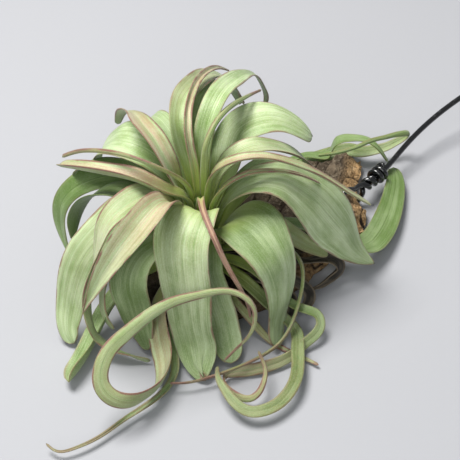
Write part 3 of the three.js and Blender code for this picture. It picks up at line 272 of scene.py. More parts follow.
# Dead leaves, curled in on themselves.
DRY_LEAVES = {
    "dry_curl_upper": dict(spine=[(9.3, 0.8, 16.8), (24, 0, 17.5), (40, -1.5, 16.5), (52, -0.5, 14.5),
        (59, 0.5, 15), (63.5, 1.5, 12.5), (65.5, 1, 9), (63.5, -0.5, 6.5), (60.5, -3, 5.5),
        (57, -6.5, 5), (52.5, -9.5, 5)],
        width=[4, 4, 4.5, 5, 5, 5, 7, 7.5, 5.5, 1.5], fold=[20, 20, 35, 50],
        roll=[0, 0, 0, 0, 0, -40, -60, -60], old=[1]),
    "dry_curl_middle": dict(spine=[(8.8, -2.8, 16.8), (22, -6.5, 17.5), (36, -9.5, 16.5),
        (45.5, -13.5, 13.5), (49, -14, 10.5), (51, -15.5, 7.5), (50.5, -18, 5), (48, -20, 3.5),
        (45.5, -21.5, 3)],
        width=[4, 4, 4.5, 5, 5.5, 6.5, 6.5, 3], fold=[20, 20, 40], roll=[0, 0, 0, 0, -20, -40, -50], old=[1]),
    "dry_curl_lower": dict(spine=[(7.2, -5.6, 16.8), (17, -11.5, 17), (29, -14.5, 16.5), (38, -17.5, 12.8),
        (43, -21, 8), (42.5, -24.3, 4.5), (39, -26.3, 3)],
        width=[3.5, 4, 4.5, 5.5, 7, 6.5, 3], fold=[20, 20, 40], roll=[0, 0, 0, -20, -40, -50], old=[1]),
}

# The stem's outline: radius and height from its foot to its top, mm.
STEM_PROFILE = [
    (0, 13.35), (7.5, 13.35), (9.5, 18), (9.5, 27), (8.2, 35), (6.2, 43), (4, 50), (1.8, 55), (0, 57),
]

# The bark's outline: y, left x and right x of stations from its near end to its far end, mm.
BARK_OUTLINE = [
    (-30, -15, 3), (-26, -24, 17), (-20, -31, 30), (-14, -35, 40), (-8, -37, 47), (0, -36.5, 54),
    (8, -33, 60.5), (16, -28, 68), (24, -20, 76.5), (31, -12, 81), (38, -3, 83), (45, 7, 83), (52, 18, 81),
    (58, 26, 79), (65, 36, 81), (70.5, 47.5, 82.5), (74.5, 58, 83), (78.5, 68, 83.5), (82, 76.5, 84),
    (84.5, 81.5, 84.3),
]
BARK_THICKNESS = 13
BROKEN_EDGE = (9, 8)  # width of the slope to the broken right edge, and how far it falls
WORN_EDGE = (7, 4)  # the same for the worn left edge
WALL_PITS = 1.3  # how deep pits eat into the side walls
WIRE_HOLE = (69, 42)
WIRE_HOLE_RADIUS = 3.2
WIRE_ROOM = 0.3  # between the wire and the bark

# The wire: its free hook and lead, its way over the bark's edge and through the hole, and the winding, mm.
WRAP_START = (80.6, 52.2, 12.5)
WRAP_DIRECTION = (0.659, 0.752, 0)
TWIST_RADIUS = 1.95
TWIST_PITCH = 9.7
WRAP_RADIUS = 3.15
WRAP_PITCH = 3.38
WRAP_TURNS = 3.5
TWIST_TO_WRAP = (0.32, 1.51)  # turns between which the one becomes the other
FIRST_ADVANCE = 0.87  # along the winding's line, where its first turn starts
TURNS_BEYOND = 0.6  # of the straight strand past the last turn
WIRE_LEAD = [
    (146.5, 117.5, 41.5), (149.5, 119, 46.5), (156, 122.5, 47.5), (161, 125.5, 42.5), (160, 125, 35),
    (154, 121.5, 29.5), (145, 116.5, 26), (136.7, 111.6, 23), (128.2, 105.5, 20.5), (119.8, 98.5, 18),
    (109.4, 87.5, 15.5), (101.5, 77.5, 13.7),
]
WIRE_THROUGH_BARK = [
    (76.5, 48.4, 15.6), (72.6, 45.2, 17.8), (69.8, 42.8, 16.6), (69, 42, 12), (69, 42, 6.5),
    (69.8, 42.9, 3.2), (73, 46, 2.2), (76.5, 49.4, 2.4), (79.8, 52.6, 5),
]


# How a blade is made.
LEAN_IN = 0.8  # how far its face turns to the stem at the root, as a slope
LEAST_HALF_WIDTH = 0.3  # mm
TIP_ROUNDING = 1.3  # length of the rounded tip, in half widths
PANELS_PER_MM, FEWEST_PANELS, MOST_PANELS = 1.6, 6, 22  # facets across, by its widest half width
WIDE = (9, 6)  # half widths, mm, from which the margins and the ribs stand out in full
PATTERN_STEP = 7.3  # from one leaf's pattern to the next

# The stage, metres and watts: each lamp's name, place, aim, size, power and colour.
LAMPS = (
    ("overhead", (-0.3, 0.16, 1.05), (0.02, 0, 0.04), 0.55, 18, (1, 0.985, 0.96)),
    ("front", (-0.25, -0.9, 0.75), (0, 0, 0.03), 0.9, 5.2, (0.97, 0.985, 1)),
)
ROOM_COLOUR, ROOM_STRENGTH = (0.93, 0.96, 1, 1), 0.3
FLOOR_REACH = 4
CAMERA_PLACE = (0.01395, -0.3994, 0.4344)
CAMERA_TILT = 45  # degrees up from straight down
CAMERA_SENSOR, CAMERA_LENS = 36, 95.65  # mm
CAMERA_CLIP = (0.01, 20)


# ---- sizes and colours a user would change
def colour(name, description, srgb):
    """A colour property whose default is given as it looks on a screen, 0 to 255."""
    c = np.array(srgb) / 255
    linear = np.where(c <= 0.04045, c / 12.92, ((c + 0.055) / 1.055) ** 2.4)
    return bpy.props.FloatVectorProperty(
        name=name, description=description, default=tuple(float(v) for v in linear), size=3, min=0, max=1,
        subtype="COLOR")


def length(name, description, millimetres):
    """A length property in metres."""
    return bpy.props.FloatProperty(
        name=name, description=description, default=millimetres * MM, min=0, unit="LENGTH", precision=5)


class AIRPLANT_Sizes(bpy.types.PropertyGroup):
    """Sizes of the fine forms; the large ones are in the tables, as in the solids."""
    leaf_thickness: length("Leaf thickness", "At the middle of a blade", 0.8)
    blade_step: length("Blade step", "Length of a facet along a blade", 1.2)
    margin_wave: length("Margin wave", "How far a wide leaf's margins ripple", 0.45)
    rib_height: length("Rib height", "Of the faint ribs that run along a blade", 0.1)
    bark_relief: length("Bark relief", "Depth of the bark's deepest fissures", 2.2)
    wire_radius: length("Wire radius", "Of the coated wire", 1.4)


class AIRPLANT_Colours(bpy.types.PropertyGroup):
    """Colours of the surfaces."""
    silver: colour("Silver green", "Upper side under its fine scales", (203, 218, 174))
    shade: colour("Grey green", "The darker stripes of a blade", (108, 136, 62))
    # painted shade: the deep green is laid where other leaves shade a leaf, in place of the shadow they cast
    deep: colour("Deep green", "Leaves that grew in the shade of others", (74, 98, 38))
    fresh: colour("Fresh green", "Where the scales are thin", (108, 142, 52))
    base: colour("Leaf base", "Yellow green by the heart", (178, 194, 92))
    pink: colour("Pink flush", "Middle of the inner leaves", (182, 134, 118))
    margin: colour("Margin", "Thin dark line along a leaf's edge", (128, 92, 76))
    old: colour("Ageing leaf", "Khaki of the lower leaves", (142, 140, 88))
    dry: colour("Dead leaf", "Dark leathery brown", (50, 45, 36))
    bark: colour("Bark", "Weathered face", (116, 102, 84))
    fissure: colour("Fissures", "Deep places in the bark", (44, 34, 26))
    broken: colour("Broken cork", "Fresh tan of the broken edge", (188, 152, 106))
    wire: colour("Wire coat", "Black plastic", (10, 11, 12))
    floor: colour("Floor", "Plain pale ground", (167, 168, 172))


# ---- lines and sections
def natural_spline(points, count):
    """The natural cubic through the points, knots at their chord lengths, cut into count equal steps: between
    knots it is the cubic whose second derivative runs straight from one knot's value to the next."""
    p = np.asarray(points, float)
    h = np.linalg.norm(np.diff(p, axis=0), axis=1)
    knots = np.concatenate([[0], np.cumsum(h)])
    inner = np.arange(1, len(p) - 1)
    a = np.eye(len(p))
    b = np.zeros_like(p)
    a[inner, inner - 1] = h[:-1]
    a[inner, inner] = 2 * (h[:-1] + h[1:])
    a[inner, inner + 1] = h[1:]
    b[inner] = 6 * (np.diff(p[1:], axis=0) / h[1:, None] - np.diff(p[:-1], axis=0) / h[:-1, None])
    m = np.linalg.solve(a, b)

    def at(x):
        i = np.clip(np.searchsorted(knots, x, side="right") - 1, 0, len(h) - 1)
        u, w, g = (x - knots[i])[:, None], (knots[i + 1] - x)[:, None], h[i][:, None]
        bend = m[i] * (w ** 3 / (6 * g) - g * w / 6) + m[i + 1] * (u ** 3 / (6 * g) - g * u / 6)
        return bend + p[i] * w / g + p[i + 1] * u / g

    fine = np.linspace(0, knots[-1], 1200)
    run = np.concatenate([[0], np.cumsum(np.linalg.norm(np.diff(at(fine), axis=0), axis=1))])
    return at(np.interp(np.linspace(0, run[-1], count + 1), run, fine))


def along(values, s):
    """Smooth (Catmull-Rom) reading at s, 0 to 1, of values given at equal steps."""
    v = np.asarray(values, float)
    if len(v) == 1:
        return np.full(np.shape(s), v[0])
    x = np.clip(s, 0, 1) * (len(v) - 1)
    i = np.minimum(x.astype(int), len(v) - 2)
    u = x - i
    slope = np.gradient(v)
    return ((2 * u ** 3 - 3 * u ** 2 + 1) * v[i] + (u ** 3 - 2 * u ** 2 + u) * slope[i]
            + (3 * u ** 2 - 2 * u ** 3) * v[i + 1] + (u ** 3 - u ** 2) * slope[i + 1])


STRAIGHT = 1e-12  # below this the path doesn't turn


def least_twist(path, first):
    """Tangents, and normals carried along the path with the least twist: each step mirrors the normal in the
    plane that swaps the two stations, and then in the plane that swaps the two tangents."""
    tangents = np.gradient(path, axis=0)
    tangents /= np.linalg.norm(tangents, axis=1)[:, None]
    normals = np.zeros_like(path)
    n = first - first @ tangents[0] * tangents[0]
    normals[0] = n / np.linalg.norm(n)
    for i in range(len(path) - 1):
        step = path[i + 1] - path[i]
        n = normals[i] - 2 * (step @ normals[i]) / (step @ step) * step
        t = tangents[i] - 2 * (step @ tangents[i]) / (step @ step) * step
        turn = tangents[i + 1] - t
        if turn @ turn > STRAIGHT:
            n = n - 2 * (turn @ n) / (turn @ turn) * turn
        n = n - n @ tangents[i + 1] * tangents[i + 1]
        normals[i + 1] = n / np.linalg.norm(n)
    return tangents, normals


def lattice(x, y, seed):
    """Smooth noise, 0 to 1: random numbers on a unit grid, eased between its corners."""
    cells = 64
    table = np.random.default_rng(seed).random((cells, cells))
    i, j = np.floor(x).astype(int), np.floor(y).astype(int)
    u, v = ease(x - i, 0, 1), ease(y - j, 0, 1)
    i, j, right, up = i % cells, j % cells, (i + 1) % cells, (j + 1) % cells
    near = table[i, j] * (1 - u) + table[right, j] * u
    far = table[i, up] * (1 - u) + table[right, up] * u
    return near * (1 - v) + far * v


def ease(x, low, high):
    """0 below low, 1 above high, and a smooth step between; low may be the larger."""
    u = np.clip((x - low) / (high - low), 0, 1)
    return u * u * (3 - 2 * u)


# ---- meshes
def tube_mesh(name, rings):
    """A closed mesh from an array of rings of points, (stations, points round, 3), in millimetres: four-sided
    faces between neighbouring rings, and across each end ring."""
    stations, around = rings.shape[:2]
    i, j = np.meshgrid(np.arange(stations - 1), np.arange(around), indexing="ij")
    nxt = (j + 1) % around
    walls = np.stack([i * around + j, (i + 1) * around + j, (i + 1) * around + nxt, i * around + nxt], -1)
    k = np.arange(around // 2 - 1)
    strip = np.stack([k, k + 1, around - 2 - k, around - 1 - k], -1)
    ends = (stations - 1) * around + strip[:, ::-1]
    faces = np.concatenate([walls.reshape(-1, 4), strip, ends])
    points = rings.reshape(-1, 3) * MM
    a, b, c, d = (points[faces[:, q]] for q in range(4))
    volume = np.einsum("ij,ij->", a, np.cross(b, c)) + np.einsum("ij,ij->", a, np.cross(c, d))
    if volume < 0:
        faces = faces[:, ::-1]
    mesh = bpy.data.meshes.new(name)
    mesh.from_pydata(points, [], faces.tolist())
    mesh.validate()
    mesh.polygons.foreach_set("use_smooth", np.ones(len(mesh.polygons), bool))
    mesh.update()
    return mesh


def store(mesh, name, values):
    """Keeps three numbers a point on the mesh, for its material to read."""
    attribute = mesh.attributes.new(name, "FLOAT_VECTOR", "POINT")
    attribute.data.foreach_set("vector", np.asarray(values, np.float32).ravel())


def finish_piece(name, mesh, material, node):
    """Puts the piece in the scene in the place of its solid."""
    mesh.materials.append(material)
    piece = bpy.data.objects.new(name, mesh)
    bpy.context.scene.collection.objects.link(piece)
    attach(piece, "root")
    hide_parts(node)
    return piece


# ---- materials
class Shader:
    """A material's nodes, added one after another."""

    def __init__(self, name, roughness=0.6):
        self.material = bpy.data.materials.new(name)
        self.material.use_nodes = True
        self.tree = self.material.node_tree
        self.surface = self.tree.nodes["Principled BSDF"]
        self.surface.inputs["Roughness"].default_value = roughness

    def add(self, kind, inputs=(), **settings):
        """Adds a node, sets its settings, and puts numbers or other nodes' sockets into its inputs."""
        node = self.tree.nodes.new(kind)
        for key, value in settings.items():
            setattr(node, key, value)
        for key, value in dict(inputs).items():
            if isinstance(value, bpy.types.NodeSocket):
                self.tree.links.new(value, node.inputs[key])
            else:
                node.inputs[key].default_value = value
        return node

    def stored(self, name):
        """The three numbers kept on the mesh under that name, as sockets."""
        vector = self.add("ShaderNodeAttribute", attribute_name=name).outputs["Vector"]
        split = self.add("ShaderNodeSeparateXYZ", {0: vector})
        return vector, split.outputs[0], split.outputs[1], split.outputs[2]

    def scaled(self, vector, factors, shift=(0, 0, 0)):
        """The vector times the factors, plus the shift."""
        inputs = {0: vector, 1: factors, 2: shift}
        return self.add("ShaderNodeVectorMath", inputs, operation="MULTIPLY_ADD").outputs[0]

    def noise(self, vector, scale=1.0, detail=2.0, roughness=0.5):
        """Noise, mostly 0.3 to 0.7."""
        inputs = {"Vector": vector, "Scale": scale, "Detail": detail, "Roughness": roughness}
        return self.add("ShaderNodeTexNoise", inputs).outputs[0]

    def math(self, operation, a, b=0.0, clamp=False):
        """One sum on two numbers."""
        return self.add("ShaderNodeMath", {0: a, 1: b}, operation=operation, use_clamp=clamp).outputs[0]

    def times(self, a, b):
        """The two numbers' product."""
        return self.math("MULTIPLY", a, b)

    def total(self, *terms):
        """The sum of the terms, each a socket times its weight."""
        total = self.times(*terms[0])
        for term in terms[1:]:
            total = self.math("ADD", total, self.times(*term))
        return total

    def ramp(self, value, low, high, start=0.0, end=1.0):
        """A smooth step from start to end as the value goes from low to high."""
        inputs = {"Value": value, "From Min": low, "From Max": high, "To Min": start, "To Max": end}
        return self.add("ShaderNodeMapRange", inputs, interpolation_type="SMOOTHSTEP").outputs[0]

    def mix(self, factor, a, b):
        """Colour a turned into colour b by the factor."""
        node = self.add("ShaderNodeMix", data_type="RGBA", clamp_factor=True)
        for socket, value in ((node.inputs[0], factor), (node.inputs[6], a), (node.inputs[7], b)):
            if isinstance(value, bpy.types.NodeSocket):
                self.tree.links.new(value, socket)
            else:
                socket.default_value = value if isinstance(value, (int, float)) else (*value, 1)[:4]
        return node.outputs[2]

    def lay(self, under, factor, weight, over):
        """Colour over laid on colour under, as thick as the factor times the weight."""
        return self.mix(self.times(factor, weight), under, over)

    def bump(self, height, depth):
        """Gives the surface small relief: a height of 1 stands depth metres out."""
        inputs = {"Height": height, "Distance": depth, "Strength": 1.0}
        self.put("Normal", self.add("ShaderNodeBump", inputs).outputs[0])

    def put(self, name, socket):
        """Feeds a socket into the surface."""
        self.tree.links.new(socket, self.surface.inputs[name])

    def set(self, **values):
        """Sets the surface's own numbers; an underscore stands for a space."""
        for key, value in values.items():
            self.surface.inputs[key.replace("_", " ")].default_value = value


# Colours that only lend a tint, as the renderer mixes them.
SCALES = (0.78, 0.84, 0.7)
WRINKLES, WORN_LEAF, WORN_MARGIN = (0.01, 0.009, 0.007), (0.19, 0.16, 0.11), (0.2, 0.155, 0.1)
STEM_BROWN, STEM_TAN, STEM_DARK = (0.13, 0.085, 0.045), (0.3, 0.22, 0.13), (0.1, 0.08, 0.045)
DUST, PALE_CORK = (0.36, 0.3, 0.22), (0.5, 0.38, 0.24)
BARK_BACK = (0.13, 0.09, 0.055), (0.24, 0.17, 0.1)
# painted shade: near black browns laid on the bark under the plant
SHADE_UNDER_PLANT = (0.012, 0.01, 0.008), (0.075, 0.05, 0.035)
SCUFFS = (0.02, 0.021, 0.023)


def leaf_material():
    """Living leaf: fine stripes of silvery scales over green, a thin dark margin, yellow-green at the base,
    and the fresh, pink and ageing colours, and the deep green of painted shade, where the leaf's own numbers
    say."""
    c = bpy.context.scene.airplant_colours
    m = Shader("leaf_blade", 0.58)
    blade, across, run, _ = m.stored("blade")
    _, rim, side, deep = m.stored("rim")
    _, fresh, pink, old = m.stored("look")
    bands = m.noise(m.scaled(blade, (0.5, 0.012, 1)), detail=2)
    stripes = m.noise(m.scaled(blade, (2.1, 0.014, 1), (7, 0, 3)), detail=2, roughness=0.6)
    threads = m.noise(m.scaled(blade, (5.5, 0.03, 1), (0, 9, 5)), detail=1)
    clouds = m.noise(m.scaled(blade, (0.14, 0.06, 1), (3, 5, 8)), detail=3)
    grains = m.noise(m.scaled(blade, (3.6, 2.4, 1), (1, 2, 4)), detail=2, roughness=0.7)
    # stripes, clouds and grains added up, and spread over 0 to 1
    tone = m.total((bands, 0.45), (stripes, 0.5), (threads, 0.4), (clouds, 0.9), (grains, 0.35))
    tone = m.ramp(tone, 0.8, 1.7)
    body = m.mix(tone, c.shade, c.silver)
    body = m.lay(body, fresh, m.ramp(tone, 0.0, 0.9, 1.0, 0.55), c.fresh)
    # painted shade: the deep green, as much as the leaf's numbers say, where other leaves shade it
    body = m.lay(body, deep, m.ramp(tone, 0.0, 1.0, 1.0, 0.6), c.deep)
    # the flush lies in stripes, broken up where the grains are pale
    flush = m.noise(m.scaled(blade, (0.8, 0.018, 1), (2, 6, 9)), detail=3, roughness=0.6)
    flush = m.times(m.ramp(flush, 0.34, 0.54), m.ramp(grains, 0.62, 0.4, 0.6, 1.0))
    flush = m.math("MAXIMUM", flush, m.ramp(pink, 0.75, 1.0, 0.0, 0.9))
    body = m.lay(body, m.times(pink, flush), 0.9, c.pink)
    body = m.lay(body, m.ramp(run, 34.0, 5.0), m.ramp(threads, 0.3, 0.7, 0.95, 0.7), c.base)
    spots = m.noise(m.scaled(blade, (0.5, 0.22, 1), (4, 4, 1)), detail=4, roughness=0.7)
    body = m.lay(body, old, m.ramp(spots, 0.36, 0.56, 0.35, 1.0), c.old)
    # the under side is duller, with plainer stripes
    body = m.lay(body, m.ramp(side, 0.15, -0.15), 0.4, m.mix(stripes, c.shade, c.fresh))
    wander = m.noise(m.scaled(blade, (0.0, 0.11, 1), (0, 0, 6)), detail=2)
    line = m.math("SUBTRACT", rim, m.ramp(wander, 0.35, 0.65, -0.06, 0.34))
    edge = m.times(m.ramp(line, 0.8, 0.15), m.ramp(wander, 0.3, 0.6, 0.5, 1.0))
    ruddy = m.math("ADD", m.ramp(fresh, 0.15, 0.6, 0.85, 0.25), m.times(pink, 0.5), True)
    body = m.lay(body, edge, ruddy, c.margin)
    body = m.lay(body, m.ramp(grains, 0.5, 0.72), 0.16, SCALES)
    # a faint crease along the middle: a groove, darkened with painted shade in the deep green
    crease = m.ramp(m.math("ABSOLUTE", across), 0.45, 0.05)
    body = m.lay(body, crease, m.ramp(run, 20.0, 60.0, 0.0, 0.12), c.deep)
    m.put("Base Color", body)
    m.put("Roughness", m.ramp(m.math("ADD", grains, stripes), 0.7, 1.3, 0.4, 0.58))
    m.bump(m.total((stripes, 0.7), (threads, 0.5), (grains, 0.16), (crease, -0.4)), 0.00022)
    m.set(Specular_IOR_Level=0.45, Sheen_Weight=0.2, Sheen_Roughness=0.4, Subsurface_Weight=0.12,
          Subsurface_Scale=0.0012)
    m.surface.inputs["Sheen Tint"].default_value = (0.93, 1, 0.9, 1)
    m.surface.inputs["Subsurface Radius"].default_value = (0.5, 1.0, 0.25)
    return m.material


def dry_material():
    """Dead leaf: dark leathery brown, wrinkled along, worn paler at its margins."""
    c = bpy.context.scene.airplant_colours
    m = Shader("dead_leaf", 0.5)
    blade = m.stored("blade")[0]
    rim = m.stored("rim")[1]
    wrinkles = m.noise(m.scaled(blade, (1.1, 0.12, 1)), detail=4, roughness=0.65)
    patches = m.noise(m.scaled(blade, (0.3, 0.12, 1), (5, 2, 2)), detail=3)
    body = m.mix(m.ramp(wrinkles, 0.35, 0.65), m.mix(0.55, c.dry, WRINKLES), c.dry)
    body = m.lay(body, m.ramp(patches, 0.45, 0.7), 0.5, WORN_LEAF)
    body = m.lay(body, m.ramp(rim, 1.0, 0.1), 0.75, WORN_MARGIN)
    m.put("Base Color", body)
    m.put("Roughness", m.ramp(wrinkles, 0.3, 0.7, 0.36, 0.62))
    m.bump(wrinkles, 0.0011)
    m.set(Specular_IOR_Level=0.45)
    return m.material


def stem_material():
    """Stem: greenish where the leaf bases are fresh, brown and fibrous low down."""
    c = bpy.context.scene.airplant_colours
    m = Shader("stem_skin", 0.75)
    place = m.add("ShaderNodeTexCoord").outputs["Object"]
    fibres = m.noise(m.scaled(place, (900, 900, 140)), detail=3)
    height = m.add("ShaderNodeSeparateXYZ", {0: place}).outputs[2]
    body = m.mix(m.ramp(height, 0.026, 0.045), m.mix(fibres, STEM_BROWN, STEM_TAN), c.fresh)
    m.put("Base Color", m.mix(m.ramp(fibres, 0.35, 0.65, 0.0, 0.5), body, STEM_DARK))
    m.bump(fibres, 0.0006)
    return m.material


def bark_material():
    """Cork bark: weathered brown, near black in its fissures, with painted shade under the plant, and tan
    where it broke.
    """
    c = bpy.context.scene.airplant_colours
    m = Shader("cork_bark_skin", 0.92)
    place = m.add("ShaderNodeTexCoord").outputs["Object"]
    _, depth, broken, under = m.stored("relief")
    lumps = m.noise(m.scaled(place, (1.5, 0.9, 1.5)), 95.0, detail=5, roughness=0.65)
    crumbs = m.noise(m.scaled(place, (1, 1, 1.6)), 420.0, detail=4, roughness=0.65)
    grain = m.noise(m.scaled(place, (620, 380, 900)), detail=3)
    body = m.mix(m.ramp(lumps, 0.4, 0.6), m.mix(0.7, c.bark, c.fissure), c.bark)
    body = m.lay(body, m.ramp(crumbs, 0.5, 0.72), 0.55, DUST)
    fibres = m.noise(m.scaled(place, (260, 900, 300)), detail=3, roughness=0.6)
    tan = m.mix(m.ramp(m.math("ADD", crumbs, fibres), 0.8, 1.15), m.mix(0.6, c.broken, c.fissure), c.broken)
    tan = m.lay(tan, m.ramp(fibres, 0.5, 0.7), 0.5, PALE_CORK)
    body = m.mix(broken, body, tan)
    body = m.mix(m.ramp(depth, 0.25, 0.8), body, c.fissure)
    body = m.lay(body, under, 0.6, m.mix(lumps, *BARK_BACK))
    # painted shade: darker under the plant, where its leaves shade the bark
    flat = m.scaled(place, (1, 1, 0))
    reach = m.add("ShaderNodeVectorMath", {0: flat}, operation="LENGTH").outputs[1]
    body = m.mix(m.ramp(reach, 0.062, 0.03, 0.0, 0.75), body, m.mix(lumps, *SHADE_UNDER_PLANT))
    m.put("Base Color", body)
    m.bump(m.total((lumps, 0.8), (crumbs, 1.0), (grain, 0.5)), 0.0022)
    m.set(Specular_IOR_Level=0.25)
    return m.material


def wire_material():
    """Smooth black plastic coat, scuffed a little."""
    c = bpy.context.scene.airplant_colours
    m = Shader("wire_coat", 0.2)
    place = m.add("ShaderNodeTexCoord").outputs["Object"]
    scuffs = m.noise(place, 260.0, detail=4, roughness=0.6)
    m.put("Base Color", m.mix(m.ramp(scuffs, 0.5, 0.8, 0.0, 0.35), c.wire, SCUFFS))
    m.put("Roughness", m.ramp(scuffs, 0.4, 0.7, 0.16, 0.3))
    m.bump(m.noise(place, 700.0, detail=1), 0.00002)
    m.set(Specular_IOR_Level=0.7, Coat_Weight=0.3, Coat_Roughness=0.15)
    return m.material


MADE = {}


def material_once(make):
    """The material that the function makes, made once."""
    if make not in MADE:
        MADE[make] = make()
    return MADE[make]


# ---- pieces
def blade_rings(leaf, number):
    """A leaf as rings round its section. Half its width is h and the fold is f at s along the spine; a ring's
    point at angle a has x = cos a, and lies at spine + side h cos(f) x + normal h sin(f) |x|^1.5, out of the
    blade's middle by the half thickness times the root of 1 - x^8 and the sign of sin a. The tip is rounded
    as a half circle. Margins ripple by a sine along the run, and ribs by a sine across. A torn tip is pushed
    along the spine by a cosine across. The rings come with what the leaf's material reads."""
    z = bpy.context.scene.airplant_sizes
    rough = natural_spline(leaf["spine"], 60)
    total = np.linalg.norm(np.diff(rough, axis=0), axis=1).sum()
    steps = int(round(total / (z.blade_step / MM)))
    path = natural_spline(leaf["spine"], steps)
    outward = (path[int(round(steps / 3))] - path[0]) * (1, 1, 0)
    tangent, normal = least_twist(path, np.array([0, 0, 1.0]) - LEAN_IN * outward / np.linalg.norm(outward))
    s = np.linspace(0, 1, steps + 1)
    run = s * total

    def at(key):
        """The leaf's numbers of that name along the blade, or 0 where its table has none."""
        return along(leaf.get(key, [0]), s)

    turn = np.radians(at("roll"))[:, None]
    normal = normal * np.cos(turn) - np.cross(tangent, normal) * np.sin(turn)
    side = np.cross(tangent, normal)
    half = np.maximum(LEAST_HALF_WIDTH, at("width") / 2)
    left = np.clip((total - run) / np.maximum(0.8, half[-1] * TIP_ROUNDING), 0, 1)
    close = np.sqrt(np.maximum(1 - (1 - left) ** 2, 0.0004))
    half = half * close
    fold = np.radians(at("fold"))
    widest = half.max()
    panels = int(np.clip(round(widest * PANELS_PER_MM), FEWEST_PANELS, MOST_PANELS))
    a = np.linspace(0, 2 * np.pi, 2 * panels, endpoint=False) + np.pi / (2 * panels)
    x = np.cos(a)[None, :]
    up = np.sign(np.sin(a))[None, :]
    h, f, r = half[:, None], fold[:, None], run[:, None]
    wave = z.margin_wave / MM * min(1, widest / WIDE[0]) * ease(r, 18, 50)
    wave = wave * np.abs(x) ** 2.5 * np.sin(r / (5.5 + number % 3) + 1.7 * number + 1.3 * np.sign(x))
    ribs = z.rib_height / MM * min(1, widest / WIDE[1])
    ribs = ribs * np.sin(x * widest * 0.9 + 0.5 * np.sin(r / 30) + number)
    thick = z.leaf_thickness / MM / 2 * np.sqrt(np.maximum(1 - x ** 8, 0)) * close[:, None]
    slope = 1.5 * np.tan(f) * np.sign(x) * np.sqrt(np.abs(x))
    tilt = np.sqrt(1 + slope ** 2)
    out = up * thick + wave + ribs * (1 - x ** 4)
    sideways = h * np.cos(f) * x - out * slope / tilt
    raised = h * np.sin(f) * np.abs(x) ** 1.5 + out / tilt
    points = path[:, None] + side[:, None] * sideways[..., None] + normal[:, None] * raised[..., None]
    torn = leaf.get("torn", 0) * ease(s, 0.8, 1)[:, None] * np.cos(2.6 * np.pi * x + 0.9)
    points += tangent[:, None] * torn[..., None]
    grid = np.ones_like(x) * np.ones_like(h)
    # deep is how much painted shade each ring takes; it rides in the rim's third number
    fresh, pink, old, deep = (
        np.clip(at(key)[:, None], 0, 1) * grid for key in ("fresh", "pink", "old", "deep"))
    return points, {
        "blade": np.stack([x * widest * grid, r * grid, grid * number * PATTERN_STEP], -1),
        "rim": np.stack([(1 - np.abs(x)) * h, up * np.sqrt(1 - x ** 2) * grid, deep], -1),
        "look": np.stack([fresh, pink, old], -1),
    }


def build_leaves(leaves, material, first):
    """Makes each leaf of a table, numbered on from first, so that no two have the same pattern."""
    for k, (name, leaf) in enumerate(leaves.items()):
        points, looks = blade_rings(leaf, first + k)
        mesh = tube_mesh(name + "_blade", points)
        for kept, values in looks.items():
            store(mesh, kept, values)
        finish_piece(name + "_blade", mesh, material, name)


def stem_rings():
    """The stem's outline turned about the Z axis, swelling a little under each ring of leaf bases: the radius
    times 0.97 + 0.03 sin(1.9 z + angle)."""
    profile = np.array(STEM_PROFILE, float)
    run = np.concatenate([[0], np.cumsum(np.linalg.norm(np.diff(profile, axis=0), axis=1))])
    t = np.linspace(0.02, run[-1] - 0.02, 90)
    radius, z = np.interp(t, run, profile[:, 0]), np.interp(t, run, profile[:, 1])
    angle = np.linspace(0, 2 * np.pi, 48, endpoint=False)[None, :]
    radius = radius[:, None] * (0.97 + 0.03 * np.sin(1.9 * z[:, None] + angle))
    return np.stack([radius * np.cos(angle), radius * np.sin(angle), z[:, None] + 0 * angle], -1)


